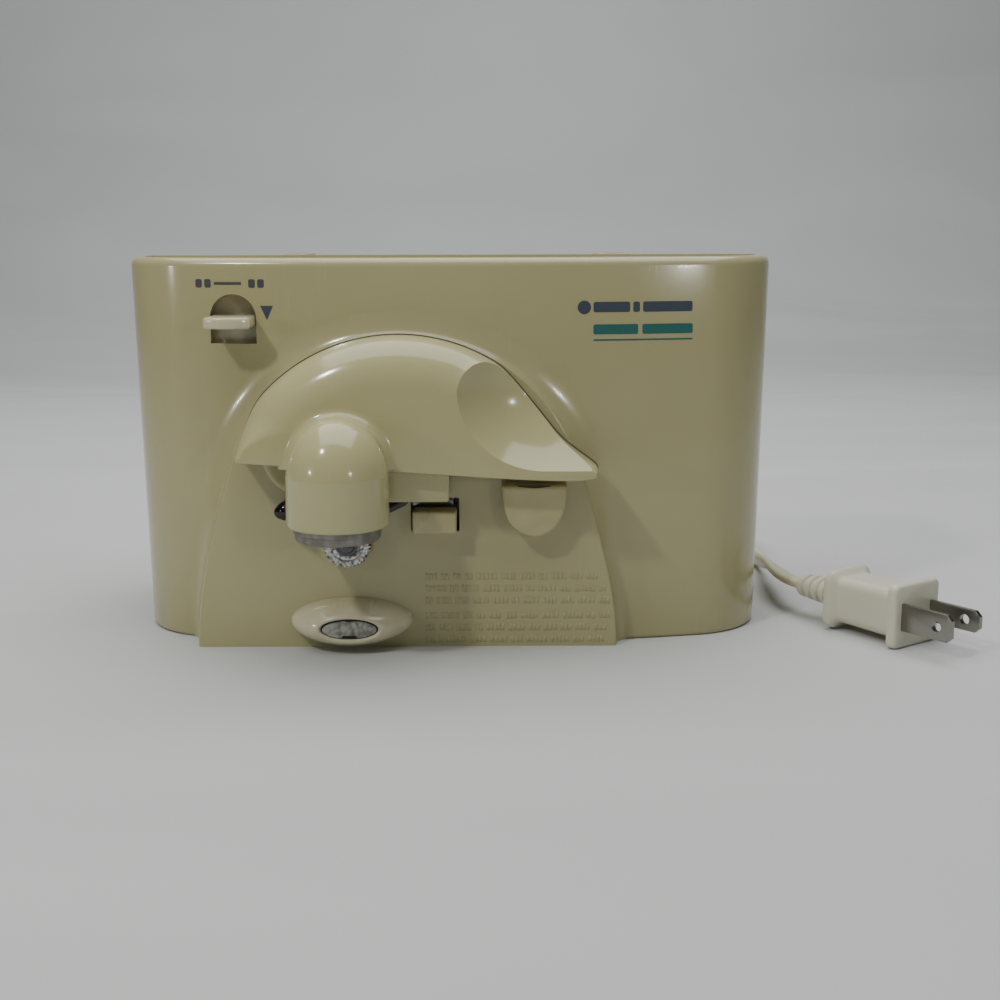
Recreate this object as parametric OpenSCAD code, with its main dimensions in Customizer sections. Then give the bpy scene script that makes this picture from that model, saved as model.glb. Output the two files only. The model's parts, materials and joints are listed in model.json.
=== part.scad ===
// Under-cabinet electric can opener: moulded case, geared shaded-pole motor, serrated drive wheel,
// hinged cutting lever with a lid magnet, sprung release slider, and a short twin-core lead.
// Millimetres, +Z up, front towards -Y. The origin is the middle of the case's floor area.

/* [Body] */
// Width of the case across its top
body_w = 190; // [158:1:230]
// Height of the case
body_h = 111; // [104:1:134]
// Depth of the case behind its front panel
body_d = 82; // [80:1:99]
// How far each side leans in towards the bottom
side_lean = 2; // [0:0.5:4]
// Radius of the bulging front, in plan
front_r = 350; // [300:10:500]
// How far the front lies behind its panel on the middle line
front_set = 2.5; // [1.5:0.5:4]
// Radius of the upright front corners
corner_r = 25; // [18:1:30]
// Radius of the upright rear corners
rear_r = 6; // [4:1:8]
// Thickness of the moulded walls
wall = 2.5; // [2:0.1:3]
// Radius of the rounded top rim
rim_r = 2.5; // [1.5:0.5:3]
// Depth of the raised top strip, from the panel
visor_d = 45; // [38:1:50]
// How far the deck behind the strip lies below it
deck_drop = 5.5; // [4.5:0.5:7]
// Depth at which the rear cover meets the front housing
split_y = 60; // [56:1:66]

/* [Panel] */
// Sideways place of the panel's middle
panel_x = -12.5; // [-20:0.5:0]
// Half the panel's width at the floor
panel_half = 60.5; // [56:0.5:62]
// Radius of the panel's arched top
arch_r = 51.5; // [48:0.5:54]
// Height of the arch's centre
arch_z = 38.5; // [36:0.5:42]

/* [Drive] */
// Sideways place of the drive wheel's axis
drive_x = -29; // [-32:0.5:-26]
// Height of the drive wheel's axis
drive_z = 31.3; // [30:0.1:33]
// Radius over the drive wheel's teeth
wheel_r = 6.5; // [6:0.1:7.2]
// Radius of the output shaft
shaft_r = 3; // [2.5:0.1:3.5]
// Radial clearance of a turning fit
run_gap = 0.05; // [0.02:0.01:0.1]
// Module of the output gear pair
output_m = 1.25; // [1:0.05:1.3]
// Module of the middle gear pair
middle_m = 1; // [0.9:0.05:1.05]
// Module of the motor gear pair
motor_m = 0.9; // [0.8:0.05:0.95]
// Thickness of the steel gear plate
plate_t = 1.5; // [1:0.1:2]

/* [Motor] */
// Thickness of the motor's stack of laminations
stack_t = 15; // [12:1:17]
// Radius of the motor's rotor
rotor_r = 12.4; // [11:0.1:12.6]
// Radius of the rotor's shaft
rotor_shaft_r = 2; // [1.5:0.1:2.4]

/* [Lever] */
// Sideways place of the lever's pivot
pivot_x = -41; // [-43:0.5:-39]
// Height of the lever's pivot
pivot_z = 56.5; // [55:0.5:58]
// Radius of the pivot pin
pin_r = 3; // [2.5:0.1:3.4]
// How far the lever's face stands out from the panel
lever_out = 14; // [12:0.5:16]
// Thickness of the lever's shell
lever_wall = 2.5; // [2:0.1:3]
// Radius of the magnet's dome
dome_r = 14; // [13:0.5:15]
// Radius of the lid magnet
magnet_r = 11.9; // [11:0.1:12.2]
// Radius of the cutting wheel
cutter_r = 8; // [7:0.1:8.6]

/* [Cord] */
// Width of the twin lead
cord_w = 5.5; // [5:0.1:6]
// Radius of the stored coil, at the middle of its turns
coil_r = 30; // [28:0.5:33]

/* [Hidden] */
$fn = 48;

cream = "#e6e0c6";
steel = "#b9bcc0";
dark_steel = "#6f7276";
slit = 0.01;                 // thickness of the slices that the case is drawn through
dome_y = -20;                // the dome's axis, in front of the panel
front_y = dome_y - dome_r;   // the furthest point in front
middle_y = (body_d + front_y) / 2;
floor_r = 1.2;               // rounding of the case's bottom edge
big = 400;

deck_z = body_h - deck_drop;
bracket_t = 1.5;
bracket_half = 60;                      // sideways place of the bracket's own screws
mount_half = 50;                        // sideways place of the cabinet screws' holes
mount_hole_r = 2.5;
mount_y = [visor_d + 8, body_d - 9];

screw_r = 1.9;
screw_gap = 0.1;
cover_posts = [for (side = [-1, 1], z = [13, body_h - 22]) [side * (body_w / 2 - wall - 4.4), z]];
post_r = 4.6;

plate_y = 17;                           // front face of the gear plate
gear_y = plate_y + plate_t + 1.5;       // front face of the output gear
gear_t = 6;
second_y = gear_y + gear_t + 1;         // front face of the second gear's wheel
second_t = 5;
first_y = second_y + second_t + 1;      // front face of the first gear's wheel
first_t = 4;
stack_y = 45;                           // front face of the laminations
output_n = 36;
small_n = 10;
second_n = 40;
first_n = 46;
frame_posts = [[-54, 19], [26, 20], [-14, 78]];

function turn(at, distance, angle) = at + distance * [cos(angle), sin(angle)];
function mesh_gap(m, teeth) = m * (teeth + small_n) / 2;

drive_at = [drive_x, drive_z];
second_at = turn(drive_at, mesh_gap(output_m, output_n), 35);
first_at = turn(second_at, mesh_gap(middle_m, second_n), 20);
rotor_at = turn(first_at, mesh_gap(motor_m, first_n), -15);
pivot_at = [pivot_x, pivot_z];
cutter_at = [drive_x - 0.6, drive_z + wheel_r + cutter_r - 2.8];
cutter_y = -8.2;                        // front face of the cutting wheel
cutter_t = 2;
plate_face = -5.8;                      // front face of the cutter plate
cutter_plate_t = 1.2;
back_cut = -9.2;                        // the dome's flat back, which clears the cutting wheel

core_w = 60;
core_h = 44;
core_x = rotor_at[0] - 22;
core_z = rotor_at[1] - core_h / 2;
leg_w = 10;
coil_t = 8;
spacer_at = [rotor_at + [-12.5, -17], rotor_at + [13, 17.5]];
spacer_r = 3.6;

slider_x = 34 - body_w / 2;
slider_z = body_h - 17.6;
slider_travel = 4;
slider_y = wall + 10.5;                 // front face of the slider's plate, behind the wall
slider_t = 2;
slider_foot = slider_z - 11.5;
spring_foot = slider_z - 18.6;
window_w = 13.4;

rest_x = drive_x + 0.6;
rest_z = 8;
guide_at = [-4.1, 37.6];
stop_x = 24;
button_at = [30, 58];

cord_r = cord_w / 2;
exit_at = [46, 16.5];
gland_l = 20;
coil_at = [76, 101];
coil_top = exit_at[1] + cord_r;
lead_route = [[46, 78, 16.5], [46, 81, 16.5], [46, 84, 16.5], [46, 88, 16.5]];
run_route = [[106, 88, 2.8], [105.9, 80, 3], [105.6, 72, 3.8], [105.3, 64, 5], [105, 56, 6.3],
    [104.8, 48, 7.5], [104.6, 40, 8.4], [104.4, 32, 9.1], [104.4, 25.5, 9.5], [105, 20, 9.6],
    [106.4, 15, 9.5], [108.5, 11.1, 9.4]];
plug_turn = -54;                        // the way the blades point, from +X
plug_at = [134.6, -24.8, 9.4];          // middle of the plug's front face
relief_l = 16;
plug_l = 28;
blade_gap = 6.35;                       // sideways place of each blade

// The case's outline at one level: a bulging front, round corners and a flat back.
function arc(c, r, a0, a1, n) = [for (i = [0:n]) c + r * [cos(a0 + (a1 - a0) * i / n),
    sin(a0 + (a1 - a0) * i / n)]];
function corner_y(half, r) =
    front_set + front_r - sqrt(pow(front_r - r, 2) - pow(half - r, 2));
function inset_outline(half, in) = let (r = corner_r - in, fr = front_r - in, h = half - in,
        c = [half - corner_r, corner_y(half, corner_r)],
        lift = asin((half - corner_r) / (front_r - corner_r)))
    concat(arc([0, front_set + front_r], fr, -90 - lift, -90 + lift, 14),
        arc(c, r, -90 + lift, 0, 7),
        arc([h - rear_r, body_d - in - rear_r], rear_r, 0, 90, 4),
        arc([rear_r - h, body_d - in - rear_r], rear_r, 90, 180, 4),
        arc([-c[0], c[1]], r, 180, 270 - lift, 7));
function half_at(z) = body_w / 2 - side_lean * (1 - z / body_h);

// The panel's bell shape, as sideways distance and height.
function bezier(a, b, c, d, n) = [for (i = [0:n]) let (t = i / n, s = 1 - t)
    s * s * s * a + 3 * s * s * t * b + 3 * s * t * t * c + t * t * t * d];
arch_low = 17;
bell_left = [panel_x - arch_r * cos(arch_low), arch_z + arch_r * sin(arch_low)];
function flip(points) = [for (i = [len(points) - 1:-1:0])
    [2 * panel_x - points[i][0], points[i][1]]];
flare = bezier([panel_x - panel_half, 0], [panel_x - panel_half, 18],
    bell_left - 16 * [sin(arch_low), cos(arch_low)], bell_left, 8);
bell = concat(flare, arc([panel_x, arch_z], arch_r, 180 - arch_low, arch_low, 20), flip(flare));

// The lever's outline: an arch on a nearly straight bottom edge, drawn out to a tip on the right.
lever_c = [panel_x - 1.5, arch_z];
lever_r = arch_r + 0.1;
flank = turn(lever_c, lever_r, 136);
tip = turn(lever_c, lever_r, 30);
lever_edge = concat(bezier([-59.2, 57.2], [-56.4, 64.5], flank - [2.4, 2.9], flank, 5),
    arc(lever_c, lever_r, 134, 31, 15),
    bezier(tip, tip + [2.8, -3.3], [37.5, 58.8], [41.2, 56.2], 5),
    arc([39.5, 53.6], 2.6, 20, -85, 5),
    [[22, 50.2], [-3, 52.2], [-30, 53.9], [-44.7, 54.5], [-53.6, 55]],
    arc([-57.4, 57], 1.8, 264, 175, 4));

module stand() {
    translate([0, -middle_y, 0]) children();
}
module along_y(y0, y1) {
    translate([0, y1, 0]) rotate([90, 0, 0]) linear_extrude(y1 - y0) children();
}
module rod(at, r, y0, y1) {
    translate([at[0], y1, at[1]]) rotate([90, 0, 0]) cylinder(h = y1 - y0, r = r);
}
module taper(at, r_front, r_back, y0, y1) {
    translate([at[0], y1, at[1]]) rotate([90, 0, 0])
        cylinder(h = y1 - y0, r1 = r_back, r2 = r_front);
}
module block(low, high) {
    translate(low) cube(high - low);
}
module oval(rx, rz) {
    polygon([for (a = [0:12:348]) [rx * cos(a), rz * sin(a)]]);
}
module level(z, in) {
    translate([0, 0, z]) linear_extrude(slit) polygon(inset_outline(half_at(z), in));
}

// The whole case as a solid, set in by one wall's thickness where it is the hollow.
module case_solid(in, z0, z1, top_r, low_r) {
    hull() {
        for (a = [0:30:90]) level(z1 - slit - top_r * (1 - sin(a)), in + top_r * (1 - cos(a)));
        for (a = [0:45:90]) level(z0 + low_r * (1 - sin(a)), in + low_r * (1 - cos(a)));
    }
}
module hollow() {
    difference() {
        case_solid(wall, wall, body_h - 1 - wall, 1, 0.5);
        block([-big, visor_d - wall, body_h - deck_drop - wall], [big, big, big]);
    }
}
module window() {
    along_y(-2, slider_y + 4) union() {
        translate([slider_x, body_h - 16.8]) circle(window_w / 2);
        translate([slider_x - window_w / 2, body_h - 24]) square([window_w, 7.2]);
    }
}

module front_housing() color(cream) stand() difference() {
    union() {
        difference() {
            case_solid(0, 0, body_h, rim_r, floor_r);
            hollow();
            block([-big, split_y, -1], [big, big, big]);
            block([-big, visor_d, body_h - deck_drop], [big, big, big]);
            intersection() {
                translate([0, 0, body_h - 1])
                    linear_extrude(big) polygon(inset_outline(body_w / 2, rim_r + 1.5));
                block([-big, -big, 0], [big, visor_d - 2, big]);
            }
        }
        difference() {
            along_y(0, 14) polygon(bell);
            hollow();
        }
        for (p = frame_posts) rod(p, 4, 4, plate_y);
        for (p = cover_posts) rod(p, post_r, 42, split_y);
        rod(pivot_at, 7, 4, 12);
    }
    for (p = frame_posts) rod(p, screw_r - 0.4 + screw_gap, plate_y - 8, plate_y + 1);
    for (p = cover_posts) rod(p, screw_r + screw_gap, 44, split_y + 1);
    rod(drive_at, shaft_r + 2.5, -1, plate_y);
    rod(pivot_at, pin_r + 2, -1, plate_y);
    rod(button_at, 3.1, -1, plate_y);
    block([guide_at[0] - 6.9, -1, guide_at[1] - 3.6],
        [guide_at[0] + 6.9, 9, guide_at[1] + 6.2]);
    window();
    for (x = [-1, 1]) translate([x * bracket_half, mount_y[0], body_h - deck_drop - wall - 1])
        cylinder(h = 8, r = screw_r + screw_gap);
}

module rear_cover() color(cream) stand() difference() {
    union() {
        difference() {
            case_solid(0, 0, body_h, rim_r, floor_r);
            hollow();
            block([-big, -big, -1], [big, split_y, big]);
            block([-big, 0, body_h - deck_drop], [big, big, big]);
        }
        for (p = cover_posts) rod(p, post_r, split_y, body_d - 1);
    }
    for (p = cover_posts) {
        rod(p, screw_r + screw_gap, split_y - 1, body_d + 1);
        rod(p, 3.6, split_y + 8, body_d + 1);
    }
    rod(exit_at, 4.6, body_d - wall - 1, body_d + 1);
    for (x = [-66:4:-34], z = [30, 50])
        block([x, body_d - wall - 1, z], [x + 1.8, body_d + 1, z + 14]);
    for (x = [-1, 1]) translate([x * bracket_half, mount_y[1], body_h - deck_drop - wall - 1])
        cylinder(h = 8, r = screw_r + screw_gap);
}

module cover_screws() color(steel) stand() for (p = cover_posts) {
    rod(p, screw_r, split_y - 15, split_y + 8);
    rod(p, 3.4, split_y + 8, split_y + 10);
}

module mounting_bracket() color(steel) stand() difference() {
    union() {
        block([-bracket_half - 14, visor_d + 2, deck_z],
            [bracket_half + 14, body_d - 3, deck_z + bracket_t]);
        for (y = [visor_d + 2, body_d - 3 - bracket_t]) block([-bracket_half - 14, y, deck_z],
            [bracket_half + 14, y + bracket_t, body_h - 1.5]);
        for (x = [-1, 1] * mount_half, y = mount_y) translate([x, y, deck_z])
            cylinder(h = deck_drop, r = 5);
    }
    for (x = [-1, 1] * mount_half, y = mount_y) translate([x, y, deck_z - 1])
        cylinder(h = 9, r = mount_hole_r);
    for (x = [-1, 1] * bracket_half, y = mount_y) translate([x, y, deck_z - 1])
        cylinder(h = 9, r = screw_r + screw_gap);
}

module bracket_screws() color(dark_steel) stand()
    for (x = [-1, 1] * bracket_half, y = mount_y) translate([x, y, 0]) {
        translate([0, 0, deck_z - 7]) cylinder(h = 7 + bracket_t, r = screw_r);
        translate([0, 0, deck_z + bracket_t]) cylinder(h = 1.6, r = 3.5);
    }

module gear_plate() color(steel) stand() difference() {
    along_y(plate_y, plate_y + plate_t) polygon([[-60, 15], [-45, 12], [34, 12], [64, 52],
        [64, 76], [-8, 86], [-22, 86], [-60, 30]]);
    for (p = frame_posts) rod(p, screw_r - 0.4 + screw_gap, plate_y - 1, plate_y + 3);
    rod(drive_at, shaft_r + 2.5, plate_y - 1, plate_y + 3);
    rod(button_at, 3.6, plate_y - 1, plate_y + 3);
    for (p = [second_at, first_at]) rod(p, 2, plate_y - 1, plate_y + 3);
    for (p = spacer_at) rod(p, 1.6, plate_y - 1, plate_y + 3);
}

module plate_screws() color(dark_steel) stand() for (p = frame_posts) {
    rod(p, screw_r - 0.4, plate_y - 7, plate_y + plate_t);
    rod(p, 3, plate_y + plate_t, plate_y + plate_t + 1.6);
}

module drive_bushing() color("#a9793a") stand() difference() {
    union() {
        rod(drive_at, shaft_r + 2.5, -0.8, plate_y + plate_t);
        rod(drive_at, shaft_r + 4.2, -0.8, 0);
    }
    rod(drive_at, shaft_r + run_gap, -2, plate_y + 3);
}

module drive_shaft() color(steel) stand() difference() {
    union() {
        rod(drive_at, shaft_r, -5.2, gear_y + gear_t + 1.2);
        rod(drive_at, shaft_r + 1.5, gear_y - 1.1, gear_y);
    }
    rod(drive_at, 1.25, -6, 4);
}

module drive_wheel() color("#a7aaad") stand() difference() {
    along_y(-5.2, -1.6) translate(drive_at) polygon([for (i = [0:47])
        (i % 2 == 0 ? wheel_r : wheel_r - 0.7) * [cos(i * 7.5), sin(i * 7.5)]]);
    rod(drive_at, shaft_r, -6, 0);
}

module wheel_screw() color(dark_steel) stand() {
    difference() {
        rod(drive_at, 3.4, -7, -5.2);
        block([drive_x - 4, -8, drive_z - 0.4], [drive_x + 4, -6.3, drive_z + 0.4]);
    }
    rod(drive_at, 1.25, -5.2, 2);
}

// A spur gear's outline, with a tooth pointing at the given angle.
function gear_points(teeth, m, first) = [for (i = [0:teeth - 1], k = [0:3])
    let (root = m * (teeth / 2 - 1.05), tip = m * (teeth / 2 + 0.78), pitch = 360 / teeth,
        a = first + pitch * (i + [-0.24, -0.1, 0.1, 0.24][k]))
    (k == 0 || k == 3 ? root : tip) * [cos(a), sin(a)]];
module gear(at, teeth, m, first, y0, y1) {
    along_y(y0, y1) translate(at) polygon(gear_points(teeth, m, first));
}
// The first tooth's angle, for a gear that puts the middle of a gap at angle a.
function gap_at(a, teeth) = a + 180 / teeth;

module output_gear() color("#f0ede2") stand() difference() {
    gear(drive_at, output_n, output_m, 35, gear_y, gear_y + gear_t);
    rod(drive_at, shaft_r, gear_y - 1, gear_y + gear_t + 1);
    for (a = [0:60:300]) rod(turn(drive_at, 13, a), 3.6, gear_y - 1, gear_y + gear_t + 1);
}

module second_gear() color("#f0ede2") stand() difference() {
    union() {
        gear(second_at, small_n, output_m, gap_at(215, small_n), gear_y, second_y + 0.5);
        gear(second_at, second_n, middle_m, 20, second_y, second_y + second_t);
    }
    rod(second_at, 2 + run_gap, gear_y - 1, second_y + second_t + 1);
}

module first_gear() color("#f0ede2") stand() difference() {
    union() {
        gear(first_at, small_n, middle_m, gap_at(200, small_n), second_y, first_y + 0.5);
        gear(first_at, first_n, motor_m, -15, first_y, first_y + first_t);
    }
    rod(first_at, 2 + run_gap, second_y - 1, first_y + first_t + 1);
}

module axle(at, y0, y1) {
    rod(at, 2, plate_y, y1 + 1.2);
    rod(at, 3.2, plate_y + plate_t, y0 - 0.3);
    rod(at, 3, y1 + 0.3, y1 + 1.2);
}
module second_axle() color(steel) stand() axle(second_at, gear_y, second_y + second_t);
module first_axle() color(steel) stand() axle(first_at, second_y, first_y + first_t);

module rotor_pinion() color("#a9793a") stand() difference() {
    gear(rotor_at, small_n, motor_m, gap_at(165, small_n), first_y - 0.5, first_y + first_t + 0.5);
    rod(rotor_at, rotor_shaft_r, first_y - 1, first_y + first_t + 1);
}

module rotor_shaft() color(steel) stand()
    rod(rotor_at, rotor_shaft_r, first_y - 1.5, stack_y + stack_t + 14);

module rotor() color("#8d9094") stand() difference() {
    rod(rotor_at, rotor_r, stack_y + 0.5, stack_y + stack_t - 0.5);
    rod(rotor_at, rotor_shaft_r, stack_y - 1, stack_y + stack_t + 1);
}

module cooling_fan() color("#55585c") stand() difference() {
    union() {
        rod(rotor_at, 5, stack_y + stack_t + 8, stack_y + stack_t + 13.5);
        for (a = [0:60:300]) translate([rotor_at[0], stack_y + stack_t + 8, rotor_at[1]])
            rotate([0, a, 0]) translate([4, 0, -0.8]) rotate([20, 0, 0]) cube([13, 5, 1.2]);
    }
    rod(rotor_at, rotor_shaft_r, stack_y, stack_y + stack_t + 20);
}

module stator_core() color("#7d8084") stand() difference() {
    block([core_x, stack_y, core_z], [core_x + core_w, stack_y + stack_t, core_z + core_h]);
    rod(rotor_at, rotor_r + 0.4, stack_y - 1, stack_y + stack_t + 1);
    block([core_x + core_w - leg_w - 14, stack_y - 1, core_z + 9],
        [core_x + core_w - leg_w, stack_y + stack_t + 1, core_z + core_h - 9]);
    for (p = spacer_at) rod(p, 1.6, stack_y - 1, stack_y + stack_t + 1);
}

module coil_ring(out, z0, z1) {
    block([core_x + core_w - leg_w - out, stack_y - out, z0],
        [core_x + core_w + out, stack_y + stack_t + out, z1]);
}
module leg_hole() {
    translate([0, 0, core_z]) coil_ring(0.1, 0, core_h);
}
module coil_bobbin() color("#3c3f44") stand() difference() {
    union() {
        coil_ring(1.2, core_z + 9.2, core_z + core_h - 9.2);
        for (z = [core_z + 9.2, core_z + core_h - 10.6]) coil_ring(coil_t, z, z + 1.4);
    }
    leg_hole();
}

module motor_coil() color("#9c5a2c") stand() difference() {
    coil_ring(coil_t - 0.8, core_z + 10.6, core_z + core_h - 10.6);
    coil_ring(1.2, core_z, core_z + core_h);
}

module bearing_bracket(y0, y1, foot_y) {
    difference() {
        union() {
            block([rotor_at[0] - 20, y0, rotor_at[1] - 7], [rotor_at[0] + 14, y1, rotor_at[1] + 7]);
            for (x = [rotor_at[0] - 20, rotor_at[0] + 12.5])
                block([x, min(y0, foot_y), rotor_at[1] - 7],
                    [x + 1.5, max(y1, foot_y), rotor_at[1] + 7]);
        }
        rod(rotor_at, 4, y0 - 1, y1 + 1);
    }
}
module front_bearing_bracket() color("#b6b9bd") stand()
    bearing_bracket(stack_y - 5, stack_y - 3.5, stack_y);
module rear_bearing_bracket() color("#b6b9bd") stand()
    bearing_bracket(stack_y + stack_t + 3.5, stack_y + stack_t + 5, stack_y + stack_t);

module motor_bearings() color("#a9793a") stand() difference() {
    for (y = [stack_y - 5.5, stack_y + stack_t + 3])
        rod(rotor_at, 4, y, y + 2.5);
    rod(rotor_at, rotor_shaft_r + run_gap, stack_y - 9, stack_y + stack_t + 9);
}

module motor_spacers() color(steel) stand() for (p = spacer_at) difference() {
    rod(p, spacer_r, plate_y + plate_t, stack_y);
    rod(p, 1.6, plate_y, stack_y + 1);
}

module motor_screws() color(dark_steel) stand() for (p = spacer_at) {
    rod(p, 1.5, plate_y - 0.5, stack_y + stack_t);
    rod(p, 3, stack_y + stack_t, stack_y + stack_t + 1.8);
}

module switch_body() color("#3a3c40") stand() difference() {
    block([button_at[0] - 4.5, plate_y + plate_t, button_at[1] - 7],
        [button_at[0] + 11, plate_y + plate_t + 12, button_at[1] + 7]);
    rod(button_at, 2.6, plate_y - 1, plate_y + plate_t + 9);
}

module switch_button() color("#d9d3bd") stand() {
    rod(button_at, 2.5, -0.8, plate_y + plate_t + 6);
    rod(button_at, 3.4, plate_y - 3.4, plate_y - 2.2);
}

scoop_r = 28.1;
module scoop(extra) {
    translate([26, -lever_out - 17.1, 75]) sphere(r = scoop_r + extra, $fn = 64);
}
module lever() color(cream) stand() difference() {
    union() {
        difference() {
            union() {
                hull() {
                    along_y(-lever_out + 4, -1.2) polygon(lever_edge);
                    along_y(-lever_out, -1.2) offset(r = -3.2) polygon(lever_edge);
                }
                translate([drive_x - 0.6, dome_y, 40]) cylinder(h = 15.4, r = dome_r);
                translate([drive_x - 0.6, dome_y, 55.4]) sphere(r = dome_r);
                block([-8, -7, 44.2], [0.2, -1.2, 53.5]);
            }
            difference() {
                along_y(-lever_out + lever_wall + 0.6, -1)
                    offset(r = -lever_wall) polygon(lever_edge);
                scoop(lever_wall);
            }
            block([pivot_x - 12, back_cut, 36], [-9, 0, 64.5]);
            scoop(0);
        }
        rod(pivot_at, 6, -lever_out + 1, plate_face);
        block([-17.5, back_cut - 0.3, 44.2], [0.2, plate_face - 0.5, 53.5]);
    }
    rod(pivot_at, pin_r + 0.02, -lever_out + 2.5, 0);
    translate([drive_x - 0.6, -21.3, 39]) cylinder(h = 4.8, r = magnet_r + 0.1);
    translate([drive_x - 0.6, -21.3, 40]) cylinder(h = 12, r = 2.02);
}

module lever_hub() color(cream) stand() difference() {
    rod(pivot_at, 11.4, -4.2, -0.6);
    rod(pivot_at, pin_r + 0.02, -6, 1);
}

module pivot_pin() color(steel) stand() difference() {
    rod(pivot_at, pin_r, -lever_out + 2.6, plate_y - 0.4);
    difference() {
        rod(pivot_at, pin_r + 1, slider_y + slider_t - 0.1, slider_y + slider_t + 0.9);
        rod(pivot_at, pin_r - 0.8, slider_y, slider_y + 4);
    }
}

module pivot_bushing() color("#a9793a") stand() difference() {
    union() {
        rod(pivot_at, pin_r + 2, -0.4, 13.4);
        rod(pivot_at, pin_r + 3.4, 12, 13.4);
    }
    rod(pivot_at, pin_r + run_gap, -1, 14);
}

// A round wire wound along Y, as rings of its section.
module wire_coil(at, r, wire, y0, y1, turns) {
    n = 14 * turns;
    ring = [for (i = [0:n], k = [0:5]) let (a = i * 360 / 14, p = k * 60)
        [at[0] + (r + wire * cos(p)) * cos(a), y0 + (y1 - y0) * i / n + wire * sin(p),
            at[1] + (r + wire * cos(p)) * sin(a)]];
    sides = [for (i = [0:n - 1], k = [0:5]) [i * 6 + k, (i + 1) * 6 + k,
        (i + 1) * 6 + (k + 1) % 6, i * 6 + (k + 1) % 6]];
    polyhedron(ring, concat(sides, [[for (k = [0:5]) k], [for (k = [5:-1:0]) n * 6 + k]]));
}
module lever_spring() color(steel) stand()
    wire_coil(pivot_at, pin_r + 5, 0.5, wall + 5.9, 11.4, 2);

module cutter_plate() color("#d3d6da") stand() difference() {
    along_y(plate_face, plate_face + cutter_plate_t) polygon([[-48.4, 40.7], [-46.2, 43.6],
        [-44.5, 50], [-46, 60], [-36, 63], [-16, 58], [-14.5, 47], [-12.6, 44.5], [-13.2, 43.2],
        [-17.6, 40.6], [-22, 39], [-45, 38.9]]);
    rod(pivot_at, pin_r + 0.02, -7, -3);
    rod(cutter_at, 1.5, -7, -3);
}

module cutting_wheel() color("#c9ccd0") stand() difference() {
    union() {
        taper(cutter_at, cutter_r - 3.5, cutter_r, cutter_y, cutter_y + cutter_t - 0.4);
        rod(cutter_at, cutter_r, cutter_y + cutter_t - 0.4, cutter_y + cutter_t - 0.1);
    }
    rod(cutter_at, 1.5 + run_gap, cutter_y - 1, cutter_y + cutter_t + 1);
}

module cutter_screw() color(dark_steel) stand() {
    rod(cutter_at, 1.5, cutter_y - 0.2, plate_face + cutter_plate_t + 0.2);
    rod(cutter_at, 2.8, cutter_y - 0.8, cutter_y - 0.15);
    difference() {
        rod(cutter_at, 2.6, cutter_y + cutter_t + 0.05, plate_face);
        rod(cutter_at, 1.5, cutter_y, 0);
    }
}

module lid_magnet() color("#77756f") stand() difference() {
    translate([drive_x - 0.6, -21.3, 35.6]) cylinder(h = 8.2, r = magnet_r);
    translate([drive_x - 0.6, -21.3, 35]) cylinder(h = 20, r = 2);
}
module magnet_pin() color(steel) stand() translate([drive_x - 0.6, -21.3, 36.2])
    cylinder(h = 15.8, r = 2);

module release_slider() color(cream) stand() {
    block([slider_x - 8.5, slider_y, slider_foot],
        [slider_x + 8.5, slider_y + slider_t, slider_z + 10.5]);
    block([slider_x - 6.2, -1.5, slider_z - 1.6], [slider_x + 6.2, slider_y, slider_z + 1.6]);
    intersection() {
        block([slider_x - 6.2, -5, slider_z - 1.6], [slider_x + 6.2, -1.4, slider_z + 1.6]);
        translate([slider_x, 8, slider_z - 2]) cylinder(h = 4, r = 12.5);
    }
}

module slider_guide() color("#cfc9b4") stand() {
    for (side = [[-1, 20], [1, 6]])
        block([slider_x + side[0] * 10.1 - 1.3, slider_y - 0.2, slider_z - side[1]],
            [slider_x + side[0] * 10.1 + 1.3, slider_y + 6.4, slider_z + 11.8]);
    block([slider_x - 11.4, slider_y + 5, slider_z - 20],
        [slider_x + 11.4, slider_y + 6.4, slider_z + 11.8]);
    block([slider_x - 11.4, slider_y - 0.2, slider_z - 20],
        [slider_x - 2.5, slider_y + 6.4, spring_foot]);
}

module release_spring() color(steel) stand()
    translate([slider_x - 5.2, slider_y + 1, spring_foot]) rotate([90, 0, 0])
        wire_coil([0, 0], 1.5, 0.25, 0.3, slider_foot - spring_foot - 0.3, 5);

module release_latch() color(steel) stand() difference() {
    along_y(slider_y + slider_t, slider_y + slider_t + 0.8) polygon([
        [slider_x - 6, slider_z + 6], [slider_x + 6, slider_z + 6], [slider_x + 7, slider_z - 8],
        [pivot_x + 8, pivot_z + 14], [pivot_x + 8, pivot_z - 8], [pivot_x - 8, pivot_z - 8],
        [pivot_x - 8, pivot_z + 10], [slider_x - 2.8, slider_foot + 0.5],
        [slider_x - 6, slider_z - 8]]);
    along_y(0, 40) union() {
        translate(pivot_at) circle(pin_r - 0.6);
        translate(pivot_at + [0.6 - pin_r, 0]) square([2 * pin_r - 1.2, slider_travel]);
        translate(pivot_at + [0, slider_travel]) circle(pin_r + 0.3);
    }
}

module rim_guide() color(cream) stand() hull() {
    block([guide_at[0] - 6.2, -5, guide_at[1] - 3.2], [guide_at[0] + 6.2, 5.5, guide_at[1] + 3.3]);
    block([guide_at[0] - 5.2, -6.2, guide_at[1] - 2.2],
        [guide_at[0] + 5.2, 5.5, guide_at[1] + 2.3]);
}
module guide_leaf() color("#c9ccd0") stand() union() {
    block([guide_at[0] - 6.6, 1.2, guide_at[1] + 3.7], [guide_at[0] + 6.6, 2, guide_at[1] + 5.9]);
    block([guide_at[0] - 6.6, 1.2, guide_at[1] + 3.7], [guide_at[0] + 6.6, 9, guide_at[1] + 4.4]);
}

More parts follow.
